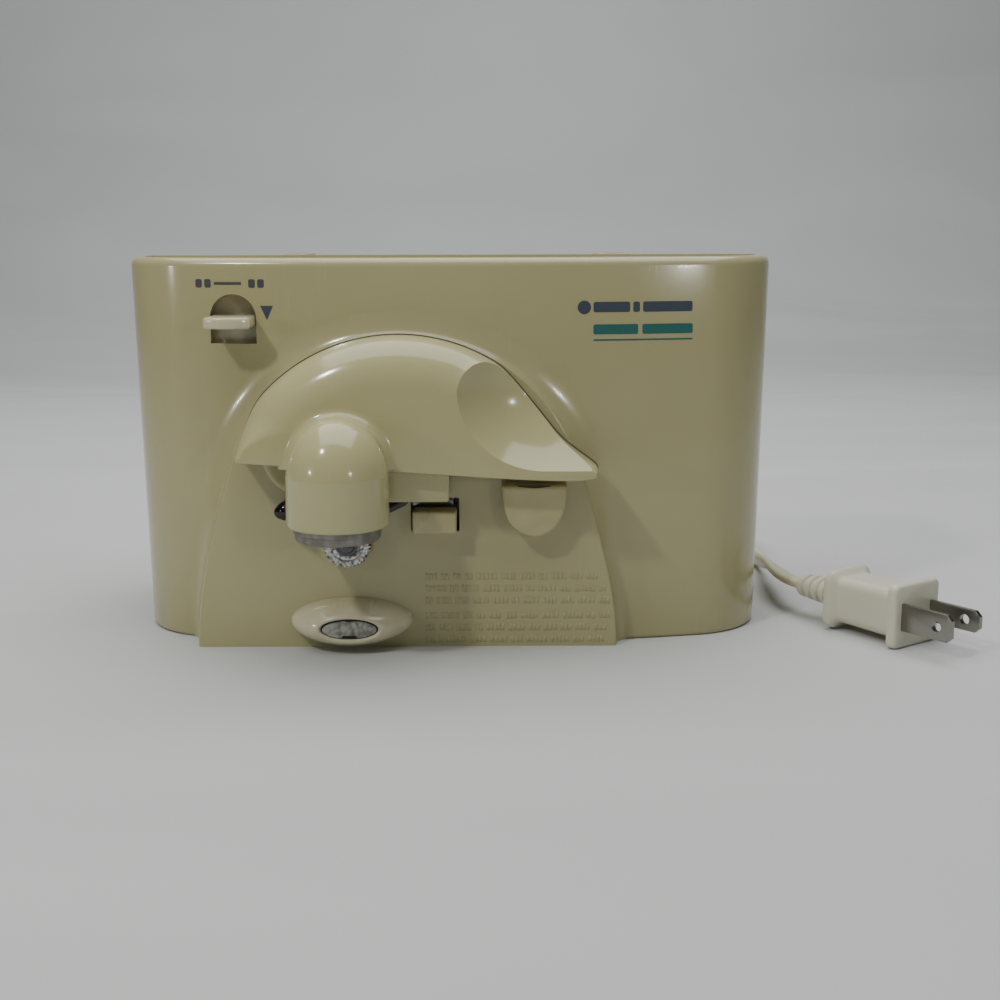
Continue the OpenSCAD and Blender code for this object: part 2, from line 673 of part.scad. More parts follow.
shield = concat([[stop_x - 9.1, 48.3], [stop_x + 9.1, 48.2]],
    bezier([stop_x + 9.1, 48.2], [stop_x + 9.3, 41], [stop_x + 7.6, 34.2], [stop_x, 33.4], 8),
    bezier([stop_x, 33.4], [stop_x - 7.6, 34.2], [stop_x - 9.3, 41], [stop_x - 9.1, 48.3], 8));
module lever_stop() color(cream) stand() hull() {
    along_y(-5, 0) polygon(shield);
    along_y(-6.2, 0) offset(r = -1.2) polygon(shield);
}

module can_rest() color(cream) stand() difference() {
    hull() for (s = [[0, 17.6, 6.8], [-4, 16.2, 6.4], [-7.5, 12.6, 5.2], [-9.5, 9.4, 3.9]])
        translate([rest_x, 0, rest_z]) along_y(s[0] - slit, s[0]) oval(s[1], s[2]);
    translate([rest_x, 0, rest_z - 0.4]) along_y(-20, -8.2) oval(8.2, 2.9);
}
module rest_insert() color("#5c5e60") stand() difference() {
    translate([rest_x, 0, rest_z - 0.4]) along_y(-9, -8.2) oval(8.1, 2.8);
    block([rest_x - 2.2, -9.2, rest_z - 3.6], [rest_x + 2.2, -8.7, rest_z - 2.2]);
}

module cord_gland() color("#cfc9b4") stand() {
    rod(exit_at, 4.5, body_d - wall - 1.2, body_d + 0.1);
    rod(exit_at, 6.2, body_d - wall - 1.4, body_d - wall);
    taper(exit_at, 4.4, 3.4, body_d, body_d + gland_l - 0.2);
}

// A round tube along a route, one ring of 8 points at each stop.
function unit(v) = v / norm(v);
function way(route, i) = unit(route[min(i + 1, len(route) - 1)] - route[max(i - 1, 0)]);
module tube(route, r) {
    n = len(route);
    rings = [for (i = [0:n - 1]) let (d = way(route, i), s = unit(cross(d, [0, 0, 1])),
        u = cross(s, d)) for (k = [0:7], a = k * 45 + 22.5)
            route[i] + r * (cos(a) * s + sin(a) * u)];
    sides = [for (i = [0:n - 2], k = [0:7]) [i * 8 + k, i * 8 + (k + 1) % 8,
        (i + 1) * 8 + (k + 1) % 8, (i + 1) * 8 + k]];
    polyhedron(rings, concat(sides, [[for (k = [7:-1:0]) k], [for (k = [0:7]) (n - 1) * 8 + k]]));
}
module cord_lead() color("#e9e5d2") tube(lead_route, cord_r);
module cord_run() color("#e9e5d2") tube(run_route, cord_r);
module cord_coil() color("#e9e5d2") translate([coil_at[0], coil_at[1], 0]) rotate_extrude()
    translate([coil_r - cord_r, 0]) square([cord_w, coil_top]);

// The plug, drawn with its blades along +X from its front face, then turned into place.
module at_plug() {
    translate(plug_at) rotate([0, 0, plug_turn]) children();
}
module plug_body() color("#f1efe8") at_plug() union() {
    block([-3.2, -10, -9.4], [0, 10, 9.4]);
    block([-plug_l + 1, -7.6, -7.2], [-1, 7.6, 7.2]);
    block([-plug_l, -9.4, -8.8], [3.4 - plug_l, 9.4, 8.8]);
}
module plug_relief() color("#f1efe8") at_plug() translate([-plug_l, 0, 0])
    rotate([0, -90, 0]) cylinder(h = relief_l, r1 = 5, r2 = 3.4);
module plug_blades() color("#c3ad74") at_plug() for (side = [-1, 1]) difference() {
    block([0, side * blade_gap - 0.75, side > 0 ? -3.2 : -4],
        [17, side * blade_gap + 0.75, side > 0 ? 3.2 : 4]);
    translate([12, side * blade_gap, 0]) rotate([90, 0, 0]) cylinder(h = 3, r = 1.5, center = true);
}

front_housing();
rear_cover();
cover_screws();
mounting_bracket();
bracket_screws();
gear_plate();
plate_screws();
drive_bushing();
drive_shaft();
drive_wheel();
wheel_screw();
output_gear();
second_gear();
second_axle();
first_gear();
first_axle();
rotor_pinion();
rotor_shaft();
rotor();
cooling_fan();
stator_core();
coil_bobbin();
motor_coil();
front_bearing_bracket();
rear_bearing_bracket();
motor_bearings();
motor_spacers();
motor_screws();
switch_body();
switch_button();
lever();
lever_hub();
pivot_pin();
pivot_bushing();
lever_spring();
cutter_plate();
cutting_wheel();
cutter_screw();
lid_magnet();
magnet_pin();
release_slider();
slider_guide();
release_spring();
release_latch();
rim_guide();
guide_leaf();
lever_stop();
can_rest();
rest_insert();
cord_gland();
cord_lead();
cord_coil();
cord_run();
plug_relief();
plug_body();
plug_blades();
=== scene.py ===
"""The finished look of an under-cabinet electric can opener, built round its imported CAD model.

Sizes are in millimetres, in the panel's frame: X to the right, Y into the object from the flat
front panel, Z up from the floor. Every mesh is turned into metres and moved to the row frame last.
"""

import json
import logging
import math
import random
from dataclasses import dataclass, field
from enum import Enum
from typing import Iterable, Optional, Sequence

import bmesh
import bpy
from mathutils import Matrix, Vector


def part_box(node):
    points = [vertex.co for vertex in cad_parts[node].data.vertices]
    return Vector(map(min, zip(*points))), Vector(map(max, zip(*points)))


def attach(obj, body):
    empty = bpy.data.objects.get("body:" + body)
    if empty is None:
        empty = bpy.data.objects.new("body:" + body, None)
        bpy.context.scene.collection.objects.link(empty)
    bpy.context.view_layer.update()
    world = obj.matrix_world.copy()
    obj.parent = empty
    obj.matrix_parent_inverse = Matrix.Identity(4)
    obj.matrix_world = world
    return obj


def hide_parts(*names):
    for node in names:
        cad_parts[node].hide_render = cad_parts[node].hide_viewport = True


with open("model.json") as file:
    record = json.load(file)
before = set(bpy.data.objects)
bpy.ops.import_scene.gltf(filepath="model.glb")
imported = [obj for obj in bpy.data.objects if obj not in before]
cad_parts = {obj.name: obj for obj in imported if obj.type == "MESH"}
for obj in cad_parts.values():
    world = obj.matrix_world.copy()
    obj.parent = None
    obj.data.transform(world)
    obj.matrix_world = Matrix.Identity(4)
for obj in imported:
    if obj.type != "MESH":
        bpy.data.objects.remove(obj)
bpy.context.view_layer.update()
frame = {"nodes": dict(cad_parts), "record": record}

MM = 0.001
PANEL_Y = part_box("front_housing")[0][1]      # the panel's plane in the row frame, in metres
BODY_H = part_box("front_housing")[1][2] / MM
BODY_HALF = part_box("front_housing")[1][0] / MM
BODY_D = (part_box("rear_cover")[1][1] - PANEL_Y) / MM
TAU = 2 * math.pi
FAR = 200.0                                  # past the object on every side
TO_PANEL = Matrix.Translation((0, -PANEL_Y / MM, 0))     # from the row frame, in millimetres

log = logging.getLogger("can_opener")

Point2 = tuple[float, float]


class Rider(Enum):
    """The CAD bodies that pieces ride on."""

    CASE = "case"
    LEVER = "cutting_lever"
    CUTTER = "cutting_wheel"
    OUTPUT = "output"
    RELEASE = "release"


# ---------------------------------------------------------------- curves and outlines


def arc(cx: float, cy: float, r: float, a0: float, a1: float, n: int) -> list[Point2]:
    """Points along an arc.

    Args:
        cx: the centre's first coordinate.
        cy: the centre's second coordinate.
        r: the radius.
        a0: the first angle, in degrees.
        a1: the last angle, in degrees.
        n: how many equal steps the arc has.

    Returns:
        The n + 1 points.
    """
    angles = [math.radians(a0 + (a1 - a0) * i / n) for i in range(n + 1)]
    return [(cx + r * math.cos(a), cy + r * math.sin(a)) for a in angles]


def bezier(a: Point2, b: Point2, c: Point2, d: Point2, n: int) -> list[Point2]:
    """Points along a cubic curve.

    Args:
        a: its start.
        b: the first handle.
        c: the second handle.
        d: its end.
        n: how many steps it has.

    Returns:
        The n + 1 points.
    """
    points = []
    for i in range(n + 1):
        t = i / n
        w = ((1 - t) ** 3, 3 * (1 - t) ** 2 * t, 3 * (1 - t) * t * t, t ** 3)
        points.append(tuple(sum(k * p[j] for k, p in zip(w, (a, b, c, d))) for j in (0, 1)))
    return points


def rounded_box(x0: float, z0: float, x1: float, z1: float, r: float, n: int = 5) -> list[Point2]:
    """The outline of a rectangle with round corners.

    Args:
        x0: its left side.
        z0: its bottom.
        x1: its right side.
        z1: its top.
        r: the corners' radius.
        n: how many steps each corner has.

    Returns:
        Its points, anticlockwise.
    """
    return (arc(x1 - r, z0 + r, r, -90, 0, n) + arc(x1 - r, z1 - r, r, 0, 90, n)
            + arc(x0 + r, z1 - r, r, 90, 180, n) + arc(x0 + r, z0 + r, r, 180, 270, n))


def outward(points: Sequence[Point2], closed: bool) -> list[Point2]:
    """The unit normal at each point of an outline, to the right of its direction.

    Args:
        points: the outline.
        closed: whether the last point joins the first.

    Returns:
        One normal for each point.
    """
    found, n = [], len(points)
    for i in range(n):
        a = points[(i - 1) % n] if closed or i else points[0]
        b = points[(i + 1) % n] if closed or i < n - 1 else points[-1]
        dx, dz = b[0] - a[0], b[1] - a[1]
        size = math.hypot(dx, dz) or 1.0
        found.append((dz / size, -dx / size))
    return found


def smooth_step(low: float, high: float, value: float) -> float:
    """How far value has gone from low to high, eased at both ends."""
    t = min(1.0, max(0.0, (value - low) / (high - low)))
    return t * t * (3 - 2 * t)


# ---------------------------------------------------------------- materials


class Nodes:
    """A small builder of shader nodes in one tree."""

    def __init__(self, tree: bpy.types.NodeTree) -> None:
        """Starts with the tree emptied.

        Args:
            tree: the shader tree.
        """
        self.tree = tree
        self.column = 0
        tree.nodes.clear()

    def add(self, kind: str, **values: object) -> bpy.types.Node:
        """Adds a node and sets its properties and its unlinked sockets.

        Args:
            kind: the node's type name without the ShaderNode prefix.
            values: properties, or sockets by name with underscores for spaces.

        Returns:
            The node.
        """
        node = self.tree.nodes.new(kind if kind.startswith("Node") else "ShaderNode" + kind)
        self.column += 1
        node.location = (180 * self.column, 0)
        for name, value in values.items():
            if hasattr(node, name):
                setattr(node, name, value)
            else:
                node.inputs[name.replace("_", " ")].default_value = value
        return node

    def link(self, out: bpy.types.NodeSocket, into: bpy.types.NodeSocket) -> None:
        """Joins two sockets."""
        self.tree.links.new(out, into)

    def ramp(self, source: bpy.types.NodeSocket,
             stops: Sequence[tuple[float, float]]) -> bpy.types.NodeSocket:
        """A grey ramp over a value.

        Args:
            source: the value's socket.
            stops: places and grey levels.

        Returns:
            The ramp's colour socket.
        """
        node = self.add("ValToRGB")
        elements = node.color_ramp.elements
        for i, (place, level) in enumerate(stops):
            stop = elements[i] if i < 2 else elements.new(place)
            stop.position, stop.color = place, (level, level, level, 1)
        self.link(source, node.inputs[0])
        return node.outputs[0]

    def mix(self, mask: bpy.types.NodeSocket, a: object, b: object) -> bpy.types.NodeSocket:
        """Mixes two colours by a mask; each is a socket or a colour.

        Args:
            mask: how much of the second colour shows.
            a: the first colour.
            b: the second colour.

        Returns:
            The mixed colour.
        """
        node = self.add("Mix", data_type="RGBA")
        self.link(mask, node.inputs[0])
        for value, socket in ((a, node.inputs[6]), (b, node.inputs[7])):
            if isinstance(value, bpy.types.NodeSocket):
                self.link(value, socket)
            else:
                socket.default_value = (*value, 1)
        return node.outputs[2]

    def maths(self, how: str, a: object, b: object) -> bpy.types.NodeSocket:
        """One sum of two values, each a socket or a number.

        Args:
            how: the operation.
            a: the first value.
            b: the second value.

        Returns:
            The result.
        """
        node = self.add("Math", operation=how)
        for value, socket in ((a, node.inputs[0]), (b, node.inputs[1])):
            if isinstance(value, bpy.types.NodeSocket):
                self.link(value, socket)
            else:
                socket.default_value = value
        return node.outputs[0]


class Effect(Enum):
    """The shared surface effects, each a node group with a mask, and mostly a height."""

    SCRATCHES = "fine_scratches"
    GRAIN = "moulded_grain"
    STAINS = "stains"


def new_group(name: str, inputs: Sequence[tuple[str, float]], outputs: Sequence[str]) -> tuple:
    """An empty shader group with value sockets.

    Args:
        name: the group's name.
        inputs: each input's name and its default value.
        outputs: the outputs' names.

    Returns:
        The group, its node builder, its input node and its output node.
    """
    group = bpy.data.node_groups.new(name, "ShaderNodeTree")
    for label, value in inputs:
        socket = group.interface.new_socket(name=label, in_out="INPUT",
                                            socket_type="NodeSocketFloat")
        socket.default_value = value
    for label in outputs:
        group.interface.new_socket(name=label, in_out="OUTPUT", socket_type="NodeSocketFloat")
    nodes = Nodes(group)
    return group, nodes, nodes.add("NodeGroupInput"), nodes.add("NodeGroupOutput")


class Effects:
    """Builds each shared effect once and places it in materials."""

    def __init__(self) -> None:
        """Builds the three groups."""
        self.groups = {Effect.SCRATCHES: self.scratches(), Effect.GRAIN: self.grain(),
                       Effect.STAINS: self.stains()}

    @staticmethod
    def scratches() -> bpy.types.NodeTree:
        """Thin scratches in three directions, broken up by a soft noise.

        Returns:
            The group, with the outputs Mask and Height.
        """
        group, n, given, out = new_group("fine_scratches", (("Scale", 60.0), ("Amount", 0.5)),
                                         ("Mask", "Height"))
        coords = n.add("TexCoord").outputs["Object"]
        total: Optional[bpy.types.NodeSocket] = None
        for turn, stretch in ((0.35, 18.0), (1.45, 26.0), (2.5, 22.0)):
            mapping = n.add("Mapping")
            mapping.inputs["Rotation"].default_value = (turn * 0.6, turn, turn * 1.3)
            mapping.inputs["Scale"].default_value = (stretch, 1.0, 1.0)
            n.link(coords, mapping.inputs["Vector"])
            noise = n.add("TexNoise", Detail=2.0, Roughness=0.55)
            n.link(mapping.outputs[0], noise.inputs["Vector"])
            n.link(given.outputs["Scale"], noise.inputs["Scale"])
            line = n.ramp(noise.outputs[0], ((0.66, 0.0), (0.72, 1.0)))
            total = line if total is None else n.maths("MAXIMUM", total, line)
        patch = n.add("TexNoise", Scale=38.0, Detail=3.0)
        n.link(coords, patch.inputs["Vector"])
        patchy = n.ramp(patch.outputs[0], ((0.45, 0.0), (0.65, 1.0)))
        broken = n.maths("MULTIPLY", total, patchy)
        mask = n.maths("MULTIPLY", broken, given.outputs["Amount"])
        n.link(mask, out.inputs["Mask"])
        n.link(n.maths("MULTIPLY", mask, -1.0), out.inputs["Height"])
        return group

    @staticmethod
    def grain() -> bpy.types.NodeTree:
        """The faint unevenness of a moulded surface.

        Returns:
            The group, with the outputs Mask and Height.
        """
        group, n, given, out = new_group("moulded_grain", (("Scale", 900.0), ("Amount", 0.5)),
                                         ("Mask", "Height"))
        coords = n.add("TexCoord").outputs["Object"]
        fine = n.add("TexNoise", Detail=3.0, Roughness=0.6)
        n.link(coords, fine.inputs["Vector"])
        n.link(given.outputs["Scale"], fine.inputs["Scale"])
        wide = n.add("TexNoise", Scale=14.0, Detail=4.0, Roughness=0.6)
        n.link(coords, wide.inputs["Vector"])
        n.link(n.ramp(wide.outputs[0], ((0.3, 0.0), (0.7, 1.0))), out.inputs["Mask"])
        n.link(n.maths("MULTIPLY", fine.outputs[0], given.outputs["Amount"]), out.inputs["Height"])
        return group

    @staticmethod
    def stains() -> bpy.types.NodeTree:
        """Irregular stained patches with soft edges.

        Returns:
            The group, with the output Mask.
        """
        group, n, given, out = new_group("stains", (("Scale", 120.0), ("Amount", 0.5)), ("Mask",))
        coords = n.add("TexCoord").outputs["Object"]
        cells = n.add("TexVoronoi", feature="SMOOTH_F1")
        noise = n.add("TexNoise", Detail=6.0, Roughness=0.7, Distortion=0.6)
        for node in (cells, noise):
            n.link(coords, node.inputs["Vector"])
            n.link(given.outputs["Scale"], node.inputs["Scale"])
        both = n.maths("MULTIPLY", cells.outputs["Distance"], noise.outputs[0])
        mask = n.maths("MULTIPLY", n.ramp(both, ((0.12, 0.0), (0.34, 1.0))),
                       given.outputs["Amount"])
        n.link(mask, out.inputs["Mask"])
        return group

    def place(self, nodes: Nodes, effect: Effect, scale: float, amount: float) -> bpy.types.Node:
        """Puts an effect's group in a material.

        Args:
            nodes: the material's builder.
            effect: which effect.
            scale: the pattern's scale.
            amount: how strong it is.

        Returns:
            The group's node.
        """
        node = nodes.add("Group")
        node.node_tree = self.groups[effect]
        node.inputs["Scale"].default_value = scale
        node.inputs["Amount"].default_value = amount
        return node


COAT_ROUGHNESS = 0.05
SCATTER_DEPTH = 0.002                            # in metres
SCRATCH_DULLNESS = 0.22                          # added to the roughness in a scratch
STAIN_DULLNESS = 0.25                            # added to the roughness in a stain
SCRATCH_DEPTH = 0.03


@dataclass(frozen=True)
class Finish:
    """A surface finish, as sizes of one shared recipe."""

    name: str
    color: tuple[float, float, float]
    shade: tuple[float, float, float]            # the second tone, in soft wide patches
    roughness: float
    spread: float = 0.08                         # how much the roughness varies
    metal: float = 0.0
    coat: float = 0.0
    grain: float = 0.02
    grain_scale: float = 900.0
    scratches: float = 0.3
    scratch_scale: float = 60.0
    scratch_tone: float = 1.18                   # scratches are this much lighter
    stain: float = 0.0
    stain_color: tuple[float, float, float] = (0.2, 0.13, 0.08)
    stain_scale: float = 120.0
    subsurface: float = 0.0
    brushed: float = 0.0

    def build(self, effects: Effects) -> bpy.types.Material:
        """Makes the finish's material.

        Args:
            effects: the shared node groups.

        Returns:
            The material.
        """
        material = bpy.data.materials.new(self.name)
        material.use_nodes = True
        n = Nodes(material.node_tree)
        shader = n.add("BsdfPrincipled")
        n.link(shader.outputs[0], n.add("OutputMaterial").inputs[0])
        shader.inputs["Metallic"].default_value = self.metal
        shader.inputs["Coat Weight"].default_value = self.coat
        shader.inputs["Coat Roughness"].default_value = COAT_ROUGHNESS
        shader.inputs["Subsurface Weight"].default_value = self.subsurface
        shader.inputs["Subsurface Scale"].default_value = SCATTER_DEPTH
        grain = effects.place(n, Effect.GRAIN, self.grain_scale, 1.0)
        marks = effects.place(n, Effect.SCRATCHES, self.scratch_scale, self.scratches)
        color = n.mix(grain.outputs["Mask"], self.color, self.shade)
        light = tuple(min(1.0, c * self.scratch_tone) for c in self.color)
        color = n.mix(marks.outputs["Mask"], color, light)
        rough = n.maths("MULTIPLY", grain.outputs["Mask"], self.spread)
        rough = n.maths("ADD", rough, self.roughness)
        dull = n.maths("MULTIPLY", marks.outputs["Mask"], SCRATCH_DULLNESS)
        rough = n.maths("ADD", rough, dull)
        if self.stain:
            stains = effects.place(n, Effect.STAINS, self.stain_scale, self.stain)
            color = n.mix(stains.outputs["Mask"], color, self.stain_color)
            dull = n.maths("MULTIPLY", stains.outputs["Mask"], STAIN_DULLNESS)
            rough = n.maths("ADD", rough, dull)
        n.link(color, shader.inputs["Base Color"])
        n.link(rough, shader.inputs["Roughness"])
        height = n.maths("ADD", n.maths("MULTIPLY", grain.outputs["Height"], self.grain),
                         n.maths("MULTIPLY", marks.outputs["Height"], SCRATCH_DEPTH))
        if self.brushed:
            height = n.maths("ADD", height, self.brush_height(n))
        bump = n.add("Bump", Strength=0.5, Distance=0.001)
        n.link(height, bump.inputs["Height"])
        n.link(bump.outputs[0], shader.inputs["Normal"])
        return material

    def brush_height(self, n: Nodes) -> bpy.types.NodeSocket:
        """Fine parallel lines of a brushed or rolled metal, as a height.

        Args:
            n: the material's builder.

        Returns:
            The height.
        """
        mapping = n.add("Mapping")
        mapping.inputs["Scale"].default_value = (1.0, 1.0, 40.0)
        n.link(n.add("TexCoord").outputs["Object"], mapping.inputs["Vector"])
        noise = n.add("TexNoise", Scale=160.0, Detail=2.0)
        n.link(mapping.outputs[0], noise.inputs["Vector"])
        return n.maths("MULTIPLY", noise.outputs[0], self.brushed)


CREAM = Finish("almond_plastic", (0.43, 0.40, 0.212), (0.405, 0.372, 0.192), 0.15, coat=0.25,
               spread=0.05, grain=0.006, grain_scale=700.0, scratches=0.22, subsurface=0.06)
CREAM_LEVER = Finish("almond_lever_plastic", (0.485, 0.455, 0.24), (0.46, 0.428, 0.215), 0.14,
                     coat=0.25, spread=0.04, grain=0.005, scratches=0.25, subsurface=0.06)
CREAM_WORN = Finish("almond_worn_plastic", (0.49, 0.455, 0.245), (0.455, 0.415, 0.215), 0.25,
                    coat=0.3, scratches=0.5, stain=0.22,
                    stain_color=(0.42, 0.27, 0.13), stain_scale=180.0)
# Painted shadow: a dark brown finish for the ring that stands in for the shade in the gap behind
# the lever's edge.
SEAM_SHADOW_PAINT = Finish("seam_shadow", (0.10, 0.086, 0.05), (0.07, 0.06, 0.036), 0.7, scratches=0.1)
# Painted shade: a near-black finish for pieces that stand in for the shade inside gaps and
# recesses.
PAINTED_GAP_SHADE = Finish("painted_gap_shade", (0.020, 0.018, 0.016), (0.035, 0.03, 0.025), 0.7, scratches=0.1)
STEEL = Finish("zinc_steel", (0.56, 0.57, 0.58), (0.46, 0.47, 0.48), 0.32, metal=1.0, grain=0.01,
               scratches=0.5, brushed=0.05)
WHEEL_STEEL = Finish("wheel_steel", (0.92, 0.92, 0.90), (0.78, 0.775, 0.76), 0.42, metal=0.7,
                     grain=0.03, scratches=0.6, scratch_scale=260.0, stain=0.9,
                     stain_color=(0.035, 0.032, 0.03), stain_scale=1100.0)
DARK_STEEL = Finish("dark_steel", (0.16, 0.16, 0.165), (0.09, 0.09, 0.095), 0.38, metal=0.9,
                    scratches=0.6, scratch_scale=140.0)
BRONZE = Finish("bronze", (0.50, 0.33, 0.15), (0.38, 0.24, 0.11), 0.4, metal=1.0, scratches=0.4)
NYLON = Finish("gear_nylon", (0.84, 0.82, 0.74), (0.78, 0.75, 0.66), 0.45, scratches=0.2,
               subsurface=0.1)
LAMINATION = Finish("laminations", (0.24, 0.25, 0.26), (0.15, 0.15, 0.16), 0.5, metal=0.8,
                    brushed=0.12, stain=0.3, stain_color=(0.16, 0.08, 0.04))
DARK_PLASTIC = Finish("dark_plastic", (0.045, 0.046, 0.05), (0.03, 0.03, 0.032), 0.5)
COPPER = Finish("copper_wire", (0.50, 0.20, 0.08), (0.40, 0.15, 0.06), 0.34, metal=0.9,
                brushed=0.25)
ALUMINIUM = Finish("bracket_aluminium", (0.70, 0.71, 0.72), (0.62, 0.63, 0.64), 0.45, metal=1.0,
                   grain=0.05)
ENAMEL = Finish("almond_enamel", (0.55, 0.53, 0.40), (0.50, 0.48, 0.36), 0.35, coat=0.2)
# Partly painted reflection: the chrome's base colour is darkened so that it reads as steel
# mirroring a dark room; its stains and scratches are its own.
CHROME_DARK_REFLECTION = Finish("cutter_chrome", (0.20, 0.205, 0.21), (0.12, 0.123, 0.127), 0.18, metal=1.0,
                grain=0.004, scratches=0.5, scratch_scale=150.0, stain=0.12,
                stain_color=(0.16, 0.12, 0.09), stain_scale=300.0)
# Painted reflection: a near-black chrome whose colour stands in for steel mirroring a dark room,
# used on the carrier's knob and strap.
BLACK_REFLECTION_CHROME = Finish("chrome_painted_black_reflection", (0.055, 0.054, 0.052), (0.03, 0.03, 0.03), 0.12, metal=0.9,
                     scratches=0.3)
REST_PLASTIC = Finish("almond_rest_plastic", (0.68, 0.645, 0.45), (0.60, 0.56, 0.37), 0.18,
                      coat=0.5, spread=0.05, scratches=0.6, stain=0.2,
                      stain_color=(0.34, 0.28, 0.15), stain_scale=160.0, subsurface=0.06)
MAGNET = Finish("magnet_ferrite", (0.34, 0.33, 0.28), (0.22, 0.213, 0.18), 0.42, metal=0.5,
                grain=0.03, scratches=0.6, scratch_scale=200.0, scratch_tone=1.5, stain=0.5,
                stain_color=(0.11, 0.105, 0.09), stain_scale=420.0)
INSERT = Finish("rest_insert_steel", (0.55, 0.54, 0.49), (0.36, 0.35, 0.31), 0.36, metal=0.45,
                scratches=1.0, scratch_scale=220.0, scratch_tone=1.8, stain=0.6,
                stain_color=(0.04, 0.037, 0.03), stain_scale=800.0)
GUIDE_PLASTIC = Finish("guide_plastic", (0.70, 0.655, 0.54), (0.66, 0.61, 0.49), 0.45)
PLUG = Finish("plug_vinyl", (0.66, 0.65, 0.52), (0.62, 0.605, 0.47), 0.34, grain=0.02,
              scratches=0.25, subsurface=0.1)
VINYL = Finish("lead_vinyl", (0.68, 0.645, 0.47), (0.64, 0.60, 0.42), 0.34, grain=0.03,
               scratches=0.2, subsurface=0.1)
BRASS = Finish("plug_brass", (0.34, 0.33, 0.295), (0.22, 0.212, 0.19), 0.28, metal=1.0,
               scratches=0.8, scratch_scale=150.0, brushed=0.04)
INK_GREY = Finish("grey_print", (0.045, 0.048, 0.052), (0.06, 0.063, 0.068), 0.5, scratches=0.3)
INK_BLUE = Finish("slate_blue_print", (0.035, 0.052, 0.075), (0.045, 0.062, 0.09), 0.5,
                  scratches=0.3)
INK_TEAL = Finish("teal_print", (0.010, 0.11, 0.095), (0.016, 0.13, 0.115), 0.5, scratches=0.3)

CAD_FINISHES: dict[str, Finish] = {
    "guide_plastic": GUIDE_PLASTIC, "zinc_steel": STEEL, "wheel_steel": WHEEL_STEEL,
    "dark_steel": DARK_STEEL, "bronze": BRONZE, "gear_nylon": NYLON, "laminations": LAMINATION,
    "fan_plastic": DARK_PLASTIC, "copper_wire": COPPER, "bracket_aluminium": ALUMINIUM,
    "button_plastic": CREAM_WORN, "cutter_chrome": CHROME_DARK_REFLECTION, "magnet_ferrite": MAGNET,
    "lead_vinyl": VINYL, "plug_vinyl": PLUG, "plug_brass": BRASS, "case_plastic": CREAM,
}
NODE_FINISHES: dict[str, Finish] = {"mounting_bracket": ENAMEL, "bracket_screws": ENAMEL}


class Paints:
    """Every finish's material, built when it is first asked for."""

    def __init__(self) -> None:
        """Starts with the shared effects."""
        self.effects = Effects()
        self.made: dict[str, bpy.types.Material] = {}

    def of(self, finish: Finish) -> bpy.types.Material:
        """The material of a finish.

        Args:
            finish: the finish.

        Returns:
            Its material.
        """
        if finish.name not in self.made:
            self.made[finish.name] = finish.build(self.effects)
        return self.made[finish.name]

    def dress_cad(self) -> None:
        """Gives every CAD node the material of its record slot."""
        slots = {s["node"]: s["material_slot"] for s in frame["record"]["subparts"]}
        for name, node in frame["nodes"].items():
            material = self.of(NODE_FINISHES.get(name) or CAD_FINISHES[slots[name]])
            node.data.materials.clear()
            node.data.materials.append(material)


# ---------------------------------------------------------------- meshes


